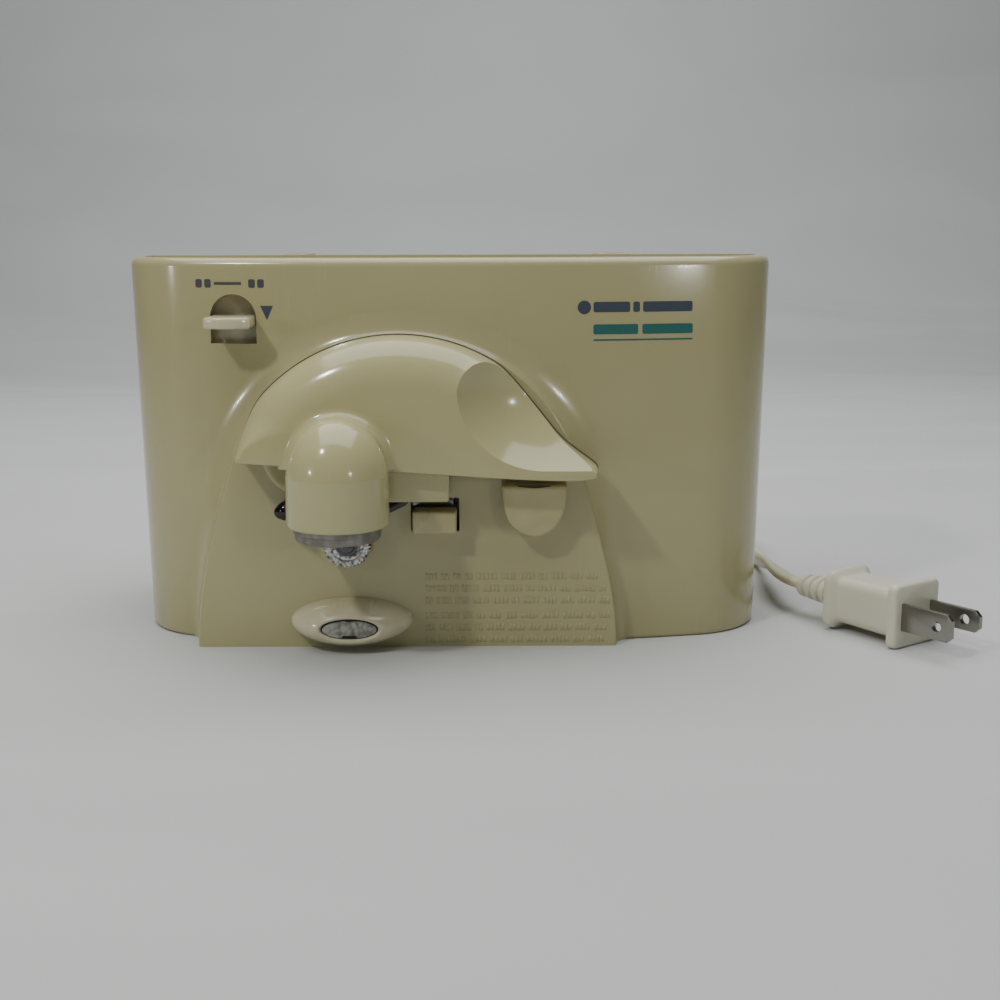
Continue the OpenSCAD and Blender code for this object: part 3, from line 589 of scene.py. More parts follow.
class Form:
    """A mesh under construction, in millimetres in the panel's frame."""

    def __init__(self, name: str) -> None:
        """Starts empty."""
        self.name = name
        self.bm = bmesh.new()

    def ring(self, points: Sequence[Sequence[float]], closed: bool = True) -> list:
        """A line of joined vertices through the points.

        Args:
            points: places in space.
            closed: whether the last joins the first.

        Returns:
            The new edges.
        """
        verts = [self.bm.verts.new(p) for p in points]
        pairs = list(zip(verts, verts[1:])) + ([(verts[-1], verts[0])] if closed else [])
        return [self.bm.edges.new(pair) for pair in pairs]

    def skin(self, rings: Sequence[Sequence[Sequence[float]]]) -> None:
        """A surface through closed rings of the same number of points, filled at both ends.

        Args:
            rings: each ring's points.
        """
        edges = self.ring(rings[0])
        verts = [edges[0].verts[0]] + [e.verts[1] for e in edges[:len(rings[0]) - 1]]
        self.bm.faces.new(verts)
        for points in rings[1:]:
            out = bmesh.ops.extrude_edge_only(self.bm, edges=edges)["geom"]
            fresh = {g for g in out if isinstance(g, bmesh.types.BMVert)}
            edges = [g for g in out if isinstance(g, bmesh.types.BMEdge)
                     and g.verts[0] in fresh and g.verts[1] in fresh]
            verts = [next(e.other_vert(v) for e in v.link_edges if e.other_vert(v) in fresh)
                     for v in verts]
            for v, p in zip(verts, points):
                v.co = p
        self.bm.faces.new(verts)

    def prism(self, outline: Sequence[Point2], y0: float, y1: float) -> list:
        """An outline of X and Z, drawn out along Y.

        Args:
            outline: the outline's points.
            y0: the front face.
            y1: the back face.

        Returns:
            The edges of the front face.
        """
        face = self.bm.faces.new([self.bm.verts.new((x, y0, z)) for x, z in outline])
        out = bmesh.ops.extrude_face_region(self.bm, geom=[face], use_keep_orig=True)["geom"]
        moved = [g for g in out if isinstance(g, bmesh.types.BMVert)]
        bmesh.ops.translate(self.bm, verts=moved, vec=(0, y1 - y0, 0))
        return list(face.edges)

    def box(self, low: Sequence[float], high: Sequence[float]) -> list:
        """An upright box between two corners.

        Args:
            low: the lowest corner.
            high: the highest corner.

        Returns:
            Its vertices.
        """
        size = [h - l for l, h in zip(low, high)]
        verts = bmesh.ops.create_cube(self.bm, size=1.0)["verts"]
        bmesh.ops.scale(self.bm, verts=verts, vec=size)
        bmesh.ops.translate(self.bm, verts=verts, vec=[(l + h) / 2 for l, h in zip(low, high)])
        return verts

    def lathe(self, profile: Sequence[Point2], centre: Sequence[float],
              axis: Sequence[float] = (0, 1, 0), steps: int = 64) -> None:
        """A turned shape.

        Args:
            profile: radius and height along the axis, one pair for each step of the outline.
            centre: a point on the axis, at height 0.
            axis: the axis's direction.
            steps: how many segments a full turn has.
        """
        axis_v = Vector(axis).normalized()
        side = axis_v.orthogonal().normalized()
        base = Vector(centre)
        verts = [self.bm.verts.new(base + side * r + axis_v * h) for r, h in profile]
        edges = [self.bm.edges.new(pair) for pair in zip(verts, verts[1:])]
        bmesh.ops.spin(self.bm, geom=verts + edges, cent=base, axis=axis_v, angle=TAU,
                       steps=steps, use_merge=True, use_duplicate=False)
        bmesh.ops.remove_doubles(self.bm, verts=self.bm.verts, dist=0.0005)

    def bevel(self, edges: Iterable, width: float, segments: int = 3) -> None:
        """Rounds edges."""
        bmesh.ops.bevel(self.bm, geom=list(edges), offset=width, segments=segments, profile=0.5,
                        affect="EDGES", material=-1, clamp_overlap=True)

    def sharp(self, degrees: float) -> list:
        """The edges that turn more than that angle.

        Args:
            degrees: the angle.

        Returns:
            The edges.
        """
        limit = math.radians(degrees)
        return [e for e in self.bm.edges
                if e.is_manifold and e.calc_face_angle(0) > limit]

    def whole(self) -> list:
        """All its vertices, edges and faces."""
        return self.bm.verts[:] + self.bm.edges[:] + self.bm.faces[:]

    def tidy(self) -> None:
        """Merges doubles and turns the faces outwards."""
        bmesh.ops.remove_doubles(self.bm, verts=self.bm.verts, dist=0.0005)
        bmesh.ops.recalc_face_normals(self.bm, faces=self.bm.faces)

    def raw(self) -> bpy.types.Object:
        """The mesh as an object in millimetres, with its normals set right.

        Returns:
            The object.
        """
        self.tidy()
        mesh = bpy.data.meshes.new(self.name)
        self.bm.to_mesh(mesh)
        self.bm.free()
        made = bpy.data.objects.new(self.name, mesh)
        bpy.context.collection.objects.link(made)
        return made


def bake(obj: bpy.types.Object) -> bpy.types.Object:
    """Applies an object's modifiers to its mesh.

    Args:
        obj: the object.

    Returns:
        The same object.
    """
    depsgraph = bpy.context.evaluated_depsgraph_get()
    mesh = bpy.data.meshes.new_from_object(obj.evaluated_get(depsgraph))
    old = obj.data
    obj.modifiers.clear()
    obj.data = mesh
    mesh.name = obj.name
    bpy.data.meshes.remove(old)
    return obj


def reopened(obj: bpy.types.Object, name: str) -> Form:
    """Takes an object's mesh back into a form and removes the object.

    Args:
        obj: the object, used up.
        name: the form's name.

    Returns:
        The form.
    """
    form = Form(name)
    form.bm.from_mesh(obj.data)
    bpy.data.objects.remove(obj)
    return form


def carve(obj: bpy.types.Object, tool: Form, how: str = "DIFFERENCE") -> bpy.types.Object:
    """Cuts a solid with another, or joins them.

    Args:
        obj: the solid that is kept.
        tool: the other solid, used up.
        how: the boolean operation.

    Returns:
        The same object.
    """
    other = tool.raw()
    cut = obj.modifiers.new("cut", "BOOLEAN")
    cut.operation, cut.solver, cut.object = how, "MANIFOLD", other
    before = obj.data.copy()
    bake(obj)
    if not obj.data.polygons:
        obj.data = before
        cut = obj.modifiers.new("cut", "BOOLEAN")
        cut.operation, cut.solver, cut.object = how, "EXACT", other
        bake(obj)
        log.info("%s: cut the slow way", obj.name)
    bpy.data.objects.remove(other)
    return obj


class Workshop:
    """Finishes meshes and gives them their body, finish and place."""

    def __init__(self, paints: Paints) -> None:
        """Keeps the materials."""
        self.paints = paints

    def done(self, made: "Form | bpy.types.Object", finish: Finish, rider: Rider, slot: str,
             stands_for: Sequence[str] = (), angle: float = 32.0,
             smooth: bool = True) -> bpy.types.Object:
        """Turns a form or an object in millimetres into a finished piece.

        Args:
            made: the mesh.
            finish: its finish.
            rider: the body that it rides on.
            slot: the record's material slot; not used.
            stands_for: the CAD nodes that it replaces.
            angle: edges that turn more than this stay sharp, in degrees.
            smooth: whether its faces are shaded smooth.

        Returns:
            The piece.
        """
        obj = made.raw() if isinstance(made, Form) else made
        obj.data.transform(Matrix.Translation((0, PANEL_Y, 0)) @ Matrix.Scale(MM, 4))
        obj.data.materials.clear()
        obj.data.materials.append(self.paints.of(finish))
        if smooth:
            obj.data.shade_smooth()
            obj.data.set_sharp_from_angle(angle=math.radians(angle))
        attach(obj, rider.value)
        if stands_for:
            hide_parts(*stands_for)
        log.info("%s: %d faces", obj.name, len(obj.data.polygons))
        return obj


# ---------------------------------------------------------------- camera, lights and floor


@dataclass
class Studio:
    """The camera, the soft lights and the pale sweep that the object stands on."""

    eye: Sequence[float] = (0.01282, -0.4289, 0.1203)
    pitch: float = 10.8
    yaw: float = -0.22
    roll: float = -0.16
    lens: float = 52.2
    sweep_color: tuple[float, float, float] = (0.56, 0.572, 0.56)

    def camera(self) -> None:
        """Places the camera in front of the object, looking slightly down."""
        data = bpy.data.cameras.new("camera")
        data.lens, data.sensor_width = self.lens, 36.0
        data.clip_start, data.clip_end = 0.01, 20.0
        camera = bpy.data.objects.new("camera", data)
        bpy.context.collection.objects.link(camera)
        turn = (Matrix.Rotation(math.radians(self.yaw), 4, "Z")
                @ Matrix.Rotation(math.radians(90 - self.pitch), 4, "X")
                @ Matrix.Rotation(math.radians(self.roll), 4, "Z"))
        camera.matrix_world = Matrix.Translation(self.eye) @ turn
        bpy.context.scene.camera = camera

    def light(self, name: str, at: Sequence[float], to: Sequence[float], size: float, power: float,
              color: Sequence[float]) -> None:
        """Adds one square area light.

        Args:
            name: its name.
            at: where it is, in metres.
            to: what it points at.
            size: its side, in metres.
            power: its power, in watts.
            color: its colour.
        """
        data = bpy.data.lights.new(name, "AREA")
        data.energy, data.size, data.color = power, size, color
        lamp = bpy.data.objects.new(name, data)
        bpy.context.collection.objects.link(lamp)
        lamp.location = at
        lamp.rotation_euler = (Vector(to) - Vector(at)).to_track_quat("-Z", "Y").to_euler()

    def lights(self) -> None:
        """Three small key lights, wide lights on the top and backdrop, and a dim surround."""
        middle = (0.0, 0.0, 0.05)
        self.light("key_left", (-0.42, -0.50, 0.66), middle, 0.06, 2.1, (1.0, 0.98, 0.94))
        self.light("low_left", (-0.75, -0.50, 0.20), middle, 0.045, 0.55, (1.0, 0.99, 0.97))
        self.light("low_right", (0.49, -0.75, 0.21), middle, 0.045, 0.42, (1.0, 0.98, 0.95))
        self.light("top", (0.0, 0.06, 0.66), (0, 0.06, 0), 0.8, 6.0, (0.99, 0.99, 1.0))
        self.light("backdrop", (0.0, 0.62, 0.95), (0, 1.25, 0.35), 0.9, 5.0, (0.98, 0.99, 1.0))
        world = bpy.data.worlds.new("surround")
        bpy.context.scene.world = world
        world.use_nodes = True
        back = world.node_tree.nodes["Background"]
        back.inputs["Color"].default_value = (0.80, 0.84, 0.90, 1)
        back.inputs["Strength"].default_value = 0.08

    def sweep(self) -> None:
        """A cloth-like sweep: a floor that curves up into a backdrop, with faint folds."""
        form = Form("floor_sweep")
        back, radius, wall, near, half = 1250.0, 500.0, 2600.0, -900.0, 2500
        line = [(near, 0.0), (-300.0, 0.0), (back - radius, 0.0)]
        line += arc(back - radius, radius, radius, -90, 0, 10)[1:] + [(back, wall)]
        form.ring([(-half, y, z) for y, z in line], closed=False)
        edges = list(form.bm.edges)
        out = bmesh.ops.extrude_edge_only(form.bm, edges=edges)["geom"]
        bmesh.ops.translate(form.bm, verts=[g for g in out if isinstance(g, bmesh.types.BMVert)],
                            vec=(2 * half, 0, 0))
        obj = form.raw()
        obj.data.transform(Matrix.Scale(MM, 4))
        obj.data.shade_smooth()
        obj.data.materials.append(self.cloth())

    def cloth(self) -> bpy.types.Material:
        """The sweep's pale cloth, with wide soft folds in its bump and painted shade along them.

        Returns:
            The material.
        """
        material = bpy.data.materials.new("pale_cloth")
        material.use_nodes = True
        n = Nodes(material.node_tree)
        shader = n.add("BsdfPrincipled")
        n.link(shader.outputs[0], n.add("OutputMaterial").inputs[0])
        shader.inputs["Roughness"].default_value = 0.85
        coords = n.add("TexCoord").outputs["Object"]
        mapping = n.add("Mapping")
        mapping.inputs["Rotation"].default_value = (0.0, 0.0, 0.5)
        mapping.inputs["Scale"].default_value = (1.0, 2.6, 1.6)
        n.link(coords, mapping.inputs["Vector"])
        folds = n.add("TexNoise", Scale=3.2, Detail=2.0, Roughness=0.45, Distortion=0.7)
        n.link(mapping.outputs[0], folds.inputs["Vector"])
        # Painted shade: the cloth darkens with the same noise that raises its folds.
        fold_shade = tuple(c * 0.93 for c in self.sweep_color)
        n.link(n.mix(n.ramp(folds.outputs[0], ((0.35, 0.0), (0.7, 1.0))),
                     self.sweep_color, fold_shade), shader.inputs["Base Color"])
        bump = n.add("Bump", Strength=0.35, Distance=0.02)
        n.link(folds.outputs[0], bump.inputs["Height"])
        n.link(bump.outputs[0], shader.inputs["Normal"])
        return material


# ---------------------------------------------------------------- lead and plug


def spline(points: Sequence[Sequence[float]], steps: int) -> list[Vector]:
    """A smooth line through points in space.

    Args:
        points: the points that it passes through.
        steps: how many parts each span has.

    Returns:
        The denser points.
    """
    p = [Vector(q) for q in points]
    p = [2 * p[0] - p[1]] + p + [2 * p[-1] - p[-2]]
    found = []
    for i in range(1, len(p) - 2):
        for k in range(steps):
            t = k / steps
            found.append(0.5 * (2 * p[i] + (p[i + 1] - p[i - 1]) * t
                                + (2 * p[i - 1] - 5 * p[i] + 4 * p[i + 1] - p[i + 2]) * t * t
                                + (3 * p[i] - p[i - 1] - 3 * p[i + 1] + p[i + 2]) * t ** 3))
    return found + [p[-2]]


@dataclass
class MainsLead:
    """The flat twin lead, with its strain relief, its stored coil and its plug.

    Its points are in millimetres, in the row frame.
    """

    shop: Workshop
    width: float = 5.5
    thick: float = 2.9
    exit_at: tuple = (46.0, 58.0, 16.5)
    coil_at: tuple = (76.0, 101.0)
    coil_r: float = 30.0
    turns: float = 2.5
    low_z: float = 2.8
    run: tuple = ((106, 88, 2.8), (105.9, 80, 3), (105.6, 72, 3.8), (105.3, 64, 5), (105, 56, 6.3),
                  (104.8, 48, 7.5), (104.6, 40, 8.4), (104.4, 32, 9.1), (104.4, 25.5, 9.5),
                  (105, 20, 9.6), (106.4, 15, 9.5), (108.5, 11.1, 9.4))
    plug_at: tuple = (134.6, -24.8, 9.4)
    plug_turn: float = -54.0
    plug_l: float = 28.0
    relief_l: float = 16.0
    blade_gap: float = 6.35
    pieces: list = field(default_factory=list)
    line: list = field(default_factory=list)
    length: float = 0.0

    def route(self) -> list[Vector]:
        """The lead's middle line, from inside its strain relief to inside the plug's.

        Returns:
            Its points.
        """
        x, y, z = self.exit_at
        line = [Vector((x, y + 17 + 26 * i / 8, z)) for i in range(8)]
        count = round(44 * self.turns)
        for i in range(count):
            a = math.pi - self.turns * TAU * i / count
            drop = (z - self.low_z) * i / count
            line.append(Vector((self.coil_at[0] + self.coil_r * math.cos(a),
                                self.coil_at[1] + self.coil_r * math.sin(a), z - drop)))
        tail = spline([(self.coil_at[0] + self.coil_r, self.coil_at[1], self.low_z), *self.run], 4)
        ahead = Vector((math.cos(math.radians(self.plug_turn)),
                        math.sin(math.radians(self.plug_turn)), 0))
        return line + tail + [tail[-1] + ahead * 2]

    def section(self) -> list[Point2]:
        """The twin lead's outline: two round cores and the groove between them.

        Returns:
            Its points.
        """
        r, c = self.thick / 2, (self.width - self.thick) / 2
        right = arc(c, 0, r, -128, 128, 9)
        return right + [(-px, -py) for px, py in right]

    def cord(self) -> bpy.types.Object:
        """The lead, standing on its edge in the coil and turning flat towards the plug.

        Returns:
            The piece.
        """
        form, line = Form("mains_lead"), self.route()
        travelled = [0.0]
        for a, b in zip(line, line[1:]):
            travelled.append(travelled[-1] + (b - a).length)
        rings = []
        for i, p in enumerate(line):
            d = (line[min(i + 1, len(line) - 1)] - line[max(i - 1, 0)]).normalized()
            side = d.cross(Vector((0, 0, 1))).normalized()
            up = side.cross(d)
            left = travelled[-1] - travelled[i]
            a = math.radians(90 - 80 * (1 - smooth_step(8, 70, left)))
            wide = side * math.cos(a) + up * math.sin(a)
            thin = up * math.cos(a) - side * math.sin(a)
            rings.append([p + wide * u + thin * v for u, v in self.section()])
        form.skin(rings)
        obj = form.raw()
        obj.data.transform(TO_PANEL)
        piece = self.shop.done(obj, VINYL, Rider.CASE, "lead_vinyl",
                               ("cord_lead", "cord_coil", "cord_run"), angle=50)
        log.info("lead: %.1f mm", travelled[-1])
        self.length = travelled[-1]
        self.line = line
        return piece

    def gland(self) -> None:
        """The ribbed strain relief on the back wall."""
        x, y, z = self.exit_at
        profile: list[Point2] = [(0, -3.6), (6.2, -3.6), (6.2, -2.6), (4.5, -2.5), (4.5, 0.1),
                                 (5.6, 0.1), (5.8, 0.5), (5.6, 1.4), (4.4, 1.7)]
        ribs = 6
        for i in range(ribs):
            at, r = 2.4 + 16.2 * i / ribs, 4.5 - 1.1 * i / ribs
            profile += [(r - 0.75, at), (r - 0.75, at + 0.8), (r, at + 1.05), (r, at + 2.2),
                        (r - 0.15, at + 2.45)]
        profile += [(3.3, 19.0), (3.2, 19.6), (0, 19.8)]
        form = Form("strain_relief")
        form.lathe(profile, (x, y, z))
        obj = form.raw()
        obj.data.transform(TO_PANEL)
        self.shop.done(obj, GUIDE_PLASTIC, Rider.CASE, "guide_plastic", ("cord_gland",), angle=30)

    def at_plug(self, made: "Form | bpy.types.Object") -> bpy.types.Object:
        """Turns what is drawn along +X from the plug's front face into place.

        Args:
            made: the form or the object.

        Returns:
            The object in its place.
        """
        obj = made.raw() if isinstance(made, Form) else made
        place = (TO_PANEL @ Matrix.Translation(self.plug_at)
                 @ Matrix.Rotation(math.radians(self.plug_turn), 4, "Z"))
        obj.data.transform(place)
        return obj

    def plug(self) -> None:
        """The moulded plug, its ribbed relief and its two blades."""
        body = Form("plug_body_moulded")
        back = -self.plug_l
        stations = ((0, 9.2, 8.6, 1.6), (-0.35, 9.7, 9.1, 1.9), (-0.9, 9.95, 9.35, 2.0),
                    (-2.4, 10, 9.4, 2.0), (-2.95, 9.8, 9.2, 2.0), (-3.25, 9.2, 8.7, 2.0),
                    (-3.3, 8.2, 7.8, 2.2), (-3.9, 7.75, 7.35, 2.6), (-5.5, 7.6, 7.2, 2.8),
                    (-14, 7.5, 7.1, 3.0), (back + 5.4, 7.35, 7.0, 3.0), (back + 4.2, 7.8, 7.3, 3.0),
                    (back + 3.3, 9.0, 8.4, 3.2), (back + 2.7, 9.35, 8.75, 3.4),
                    (back + 0.9, 9.2, 8.6, 3.6), (back + 0.3, 8.6, 8.0, 3.8), (back, 7.2, 6.8, 3.8))
        body.skin([[(x, p[0], p[1]) for p in rounded_box(-a, -b, a, b, r)]
                   for x, a, b, r in stations])
        plug = self.shop.done(self.at_plug(body), PLUG, Rider.CASE, "plug_vinyl",
                              ("plug_body",), 40)
        relief = Form("plug_relief_moulded")
        rings, ribs = [], 5
        for i in range(ribs):
            x0, r = back - self.relief_l * i / ribs, 5.0 - 1.5 * i / ribs
            step = self.relief_l / ribs
            for x, k in ((0.0, r - 0.2), (-0.25, r), (-step * 0.5, r - 0.1),
                         (-step * 0.58, r - 0.4), (-step * 0.62, r - 1.0),
                         (-step * 0.95, r - 1.15)):
                rings.append([(x0 + x, 1.12 * k * math.cos(a), 0.92 * k * math.sin(a))
                              for a in (TAU * j / 28 for j in range(28))])
        relief.skin(rings)
        sleeve = self.shop.done(self.at_plug(relief), PLUG, Rider.CASE, "plug_vinyl",
                                ("plug_relief",), 40)
        blades = Form("plug_blade_pair")
        for side, half in ((-1, 4.0), (1, 3.2)):
            y = side * self.blade_gap
            outline = [(-1, -half), (15.4, -half), (17.0, -half + 1.5), (17.0, half - 1.5),
                       (15.4, half), (-1, half)]
            face = blades.bm.faces.new([blades.bm.verts.new((u, y - 0.75, v)) for u, v in outline])
            out = bmesh.ops.extrude_face_region(blades.bm, geom=[face], use_keep_orig=True)["geom"]
            moved = [g for g in out if isinstance(g, bmesh.types.BMVert)]
            bmesh.ops.translate(blades.bm, verts=moved, vec=(0, 1.5, 0))
        blades.bevel(blades.sharp(60), 0.22, 2)
        made = blades.raw()
        hole = Form("blade_holes")
        hole.lathe([(0, -12), (1.55, -12), (1.55, 12), (0, 12)], (12, 0, 0), steps=32)
        carve(made, hole)
        pair = self.shop.done(self.at_plug(made), BRASS, Rider.CASE, "plug_brass",
                              ("plug_blades",), 25)
        self.pieces = [plug, sleeve, pair]

    def build(self) -> None:
        lead = self.cord()
        self.gland()
        self.plug()


# ---------------------------------------------------------------- the case


@dataclass
class CaseShell:
    """The moulded case: the bulging front with its bell-shaped panel, and the rear cover."""

    shop: Workshop
    side_lean: float = 2.0
    front_r: float = 350.0
    front_set: float = 2.5
    corner_r: float = 25.0
    rear_r: float = 6.0
    wall: float = 2.5
    rim_r: float = 2.5
    visor_d: float = 45.0
    deck_drop: float = 5.5
    split_y: float = 60.0
    panel_x: float = -12.5
    panel_half: float = 60.5
    arch_r: float = 51.5
    arch_z: float = 38.5
    arch_low: float = 17.0
    window_x: float = -61.0
    window_w: float = 13.4
    window_z: float = 94.2
    window_foot: float = 87.0
    guide_at: Point2 = (-4.1, 37.6)
    drive_at: Point2 = (-29.0, 31.3)
    pivot_at: Point2 = (-41.0, 56.5)
    button_at: Point2 = (30.0, 58.0)
    lead_at: Point2 = (46.0, 16.5)
    ink_t: float = 0.12
    ink_proud: float = 0.045
    ink_step: float = 1.2

    def half_at(self, z: float) -> float:
        """Half the case's width at a height."""
        return BODY_HALF - self.side_lean * (1 - z / BODY_H)

    def corner(self, half: float) -> Point2:
        """The centre of the right front corner's round, in plan.

        Args:
            half: half the case's width there.

        Returns:
            The centre.
        """
        x = half - self.corner_r
        run = self.front_r - self.corner_r
        return x, self.front_set + self.front_r - math.sqrt(run * run - x * x)

    def front_at(self, x: float, z: float) -> float:
        """The depth of the bulging front at a place.

        Args:
            x: the place across.
            z: its height.

        Returns:
            The depth.
        """
        cx, cy = self.corner(self.half_at(z))
        if abs(x) < cx * self.front_r / (self.front_r - self.corner_r):
            return self.front_set + self.front_r - math.sqrt(self.front_r ** 2 - x * x)
        reach = min(abs(x) - cx, self.corner_r)
        return cy - math.sqrt(self.corner_r ** 2 - reach * reach)

    def outline(self, half: float, inset: float) -> list[Point2]:
        """The case's outline in plan at one level.

        Args:
            half: half the width there.
            inset: how far inside the outer surface it lies.

        Returns:
            Its points, from the left end of the front.
        """
        cx, cy = self.corner(half)
        lift = math.degrees(math.asin(cx / (self.front_r - self.corner_r)))
        r, h = self.corner_r - inset, half - inset
        return (arc(0, self.front_set + self.front_r, self.front_r - inset, -90 - lift,
                    -90 + lift, 40)
                + arc(cx, cy, r, -90 + lift, 0, 16)[1:]
                + arc(h - self.rear_r, BODY_D - inset - self.rear_r, self.rear_r, 0, 90, 8)
                + arc(self.rear_r - h, BODY_D - inset - self.rear_r, self.rear_r, 90, 180, 8)
                + arc(-cx, cy, r, 180, 270 - lift, 16)[:-1])

    def solid(self, name: str, inset: float, low: float, high: float, top_r: float,
              low_r: float) -> Form:
        """The case as a solid, or the room inside it.

        Args:
            name: the form's name.
            inset: how far it is set in.
            low: its lowest level.
            high: its highest level.
            top_r: the radius of its top edge.
            low_r: the radius of its bottom edge.

        Returns:
            The form.
        """
        form = Form(name)
        levels = [(low + low_r * (1 - math.sin(a)), inset + low_r * (1 - math.cos(a)))
                  for a in (math.radians(90 - 22.5 * i) for i in range(5))]
        levels += [(low + (high - low) * k, inset) for k in (0.25, 0.5, 0.75)]
        levels += [(high - top_r * (1 - math.sin(a)), inset + top_r * (1 - math.cos(a)))
                   for a in (math.radians(15 * i) for i in range(7))]
        form.skin([[(x, y, z) for x, y in self.outline(self.half_at(z), d)] for z, d in levels])
        return form

    def bell(self) -> list[Point2]:
        """The panel's bell-shaped outline, from its left foot over the arch to its right foot.

        Returns:
            Its points.
        """
        a = math.radians(self.arch_low)
        top = (self.panel_x - self.arch_r * math.cos(a), self.arch_z + self.arch_r * math.sin(a))
        foot = self.panel_x - self.panel_half
        flare = bezier((foot, 0), (foot, 18),
                       (top[0] - 16 * math.sin(a), top[1] - 16 * math.cos(a)), top, 18)
        flip = [(2 * self.panel_x - x, z) for x, z in reversed(flare)]
        return (flare + arc(self.panel_x, self.arch_z, self.arch_r, 180 - self.arch_low,
                            self.arch_low, 48)[1:-1] + flip)

    def panel(self) -> Form:
        """The panel, proud of the case, with a crisp edge and a concave sweep down to the case.

        Returns:
            The form.
        """
        form, bell = Form("panel"), self.bell()
        normals = outward([(x, z) for x, z in reversed(bell)], closed=False)[::-1]
        sides = list(zip(bell, normals))
        rings = [[(x + nx * d, y, max(0.0, z + nz * d)) for (x, z), (nx, nz) in sides]
                 for d, y in ((-0.7, 0.0), (-0.42, 0.05), (-0.2, 0.2), (-0.05, 0.42), (0.0, 0.7))]
        for i in range(1, 13):
            t = i / 12
            bow = math.sqrt(1 - (1 - t) ** 2)
            ring = []
            for (x, z), (nx, nz) in sides:
                d = t * (3.5 + 6.5 * smooth_step(5, 60, z))
                px, pz = x + nx * d, max(0.0, z + nz * d)
                ring.append((px, 0.7 + (self.front_at(px, pz) + 0.12 - 0.7) * bow, pz))
            rings.append(ring)
        rings.append([(x, y + 2.0, z) for x, y, z in rings[-1]])
        rings.append([(x * 0.9 - 1.25, 17.0, z * 0.9) for x, y, z in rings[-1]])
        form.skin(rings)
        return form

    def rod(self, form: Form, at: Point2, r: float, y0: float, y1: float) -> None:
        """Adds a round bar along Y."""
        form.lathe([(0, y0), (r, y0), (r, y1), (0, y1)], (at[0], 0, at[1]), steps=48)

    def shell(self) -> bpy.types.Object:
        """The whole case, hollow and cut, before it is parted.

        Returns:
            The object.
        """
        case = self.solid("case", 0, 0, BODY_H, self.rim_r, 1.2).raw()
        carve(case, self.panel(), "UNION")
        drop = Form("drop")
        drop.box((-FAR, self.visor_d, BODY_H - self.deck_drop), (FAR, FAR, FAR))
        carve(case, drop)
        recess = Form("recess")
        plan = self.outline(BODY_HALF, self.rim_r + 1.4)
        recess.skin([[(x, min(y, self.visor_d - 2.2), z) for x, y in plan]
                     for z in (BODY_H - 1, BODY_H + 5)])
        carve(case, recess)
        hollow = self.solid("room", self.wall, self.wall, BODY_H - 1 - self.wall, 1, 0.5).raw()
        lid = Form("lid")
        lid.box((-FAR, self.visor_d - self.wall, BODY_H - self.deck_drop - self.wall),
                (FAR, FAR, FAR))
        carve(hollow, lid)
        carve(case, reopened(hollow, "hollow"))
        self.openings(case)
        return case

    def openings(self, case: bpy.types.Object) -> None:
        """Cuts the windows, the bores, the screw holes and the vents.

        Args:
            case: the hollow case.
        """
        window = Form("window")
        w = self.window_w / 2
        window.prism([(self.window_x - w, self.window_foot), (self.window_x + w, self.window_foot)]
                     + arc(self.window_x, self.window_z, w, 0, 180, 32), -4, 13)
        carve(case, window)
        for at, r in ((self.drive_at, 5.6), (self.pivot_at, 5.1), (self.button_at, 3.2)):
            bore = Form("bore")
            self.rod(bore, at, r, -3, 20)
            carve(case, bore)
        gx, gz = self.guide_at
        slot = Form("slot")
        slot.prism(rounded_box(gx - 6.9, gz - 3.6, gx + 6.9, gz + 6.2, 0.5), -3, 20)
        carve(case, slot)
        rear = Form("rear_holes")
        for x in range(-66, -33, 4):
            for z in (30, 50):
                rear.prism(rounded_box(x, z, x + 1.8, z + 14, 0.85), BODY_D - 5, BODY_D + 3)
        for x in (-1, 1):
            for z in (13, BODY_H - 22):
                self.rod(rear, (x * (BODY_HALF - 6.9), z), 3.7, BODY_D - 5, BODY_D + 3)
        self.rod(rear, self.lead_at, 5.2, BODY_D - 5, BODY_D + 3)
        carve(case, rear)

    def part(self, case: bpy.types.Object, name: str, keep_front: bool) -> Form:
        """One side of the parting plane.

        Args:
            case: the whole shell.
            name: the new form's name.
            keep_front: whether the front side is the one kept.

        Returns:
            The form.
        """
        form = Form(name)
        form.bm.from_mesh(case.data)
        gap = -0.06 if keep_front else 0.06
        out = bmesh.ops.bisect_plane(form.bm, geom=form.whole(),
                                     plane_co=(0, self.split_y + gap, 0), plane_no=(0, 1, 0),
                                     clear_outer=keep_front, clear_inner=not keep_front)
        rim = [g for g in out["geom_cut"] if isinstance(g, bmesh.types.BMEdge) and g.is_boundary]
        bmesh.ops.bridge_loops(form.bm, edges=rim)
        return form

    def build(self) -> None:
        """Makes the front housing, the rear cover, and what is moulded or printed on them."""
        case = self.shell()
        front = self.part(case, "front_case", True)
        rear = self.part(case, "rear_case", False)
        bpy.data.objects.remove(case)
        self.shop.done(front, CREAM, Rider.CASE, "case_plastic", ("front_housing",), angle=28)
        self.shop.done(rear, CREAM, Rider.CASE, "case_plastic", ("rear_cover",), angle=28)
        self.relief_bars()
        self.marks()

    def relief_bars(self) -> None:
        """Plain raised bars in six rows, low on the panel."""
        form, draw = Form("panel_relief_bars"), random.Random(7)
        left, right, pitch = -7.2, 46.0, 3.55
        for row in range(6):
            z, x = 19.9 - row * pitch - (0.9 if row > 2 else 0), left
            while x < right - 3:
                long = min(draw.uniform(2.2, 6.2), right - x)
                parts = max(2, round(long / 1.15))
                for k in range(parts):
                    x0 = x + long * k / parts
                    form.box((x0 + 0.15, -0.16, z - draw.choice((0.0, 0.0, 0.15))),
                             (x0 + long / parts - 0.12, 0.3, z + draw.choice((1.7, 1.9, 1.9))))
                x += long + 0.95
        form.bevel([e for e in form.bm.edges if all(v.co.y < 0 for v in e.verts)], 0.12, 1)
        self.shop.done(form, CREAM, Rider.CASE, "case_plastic", angle=60)

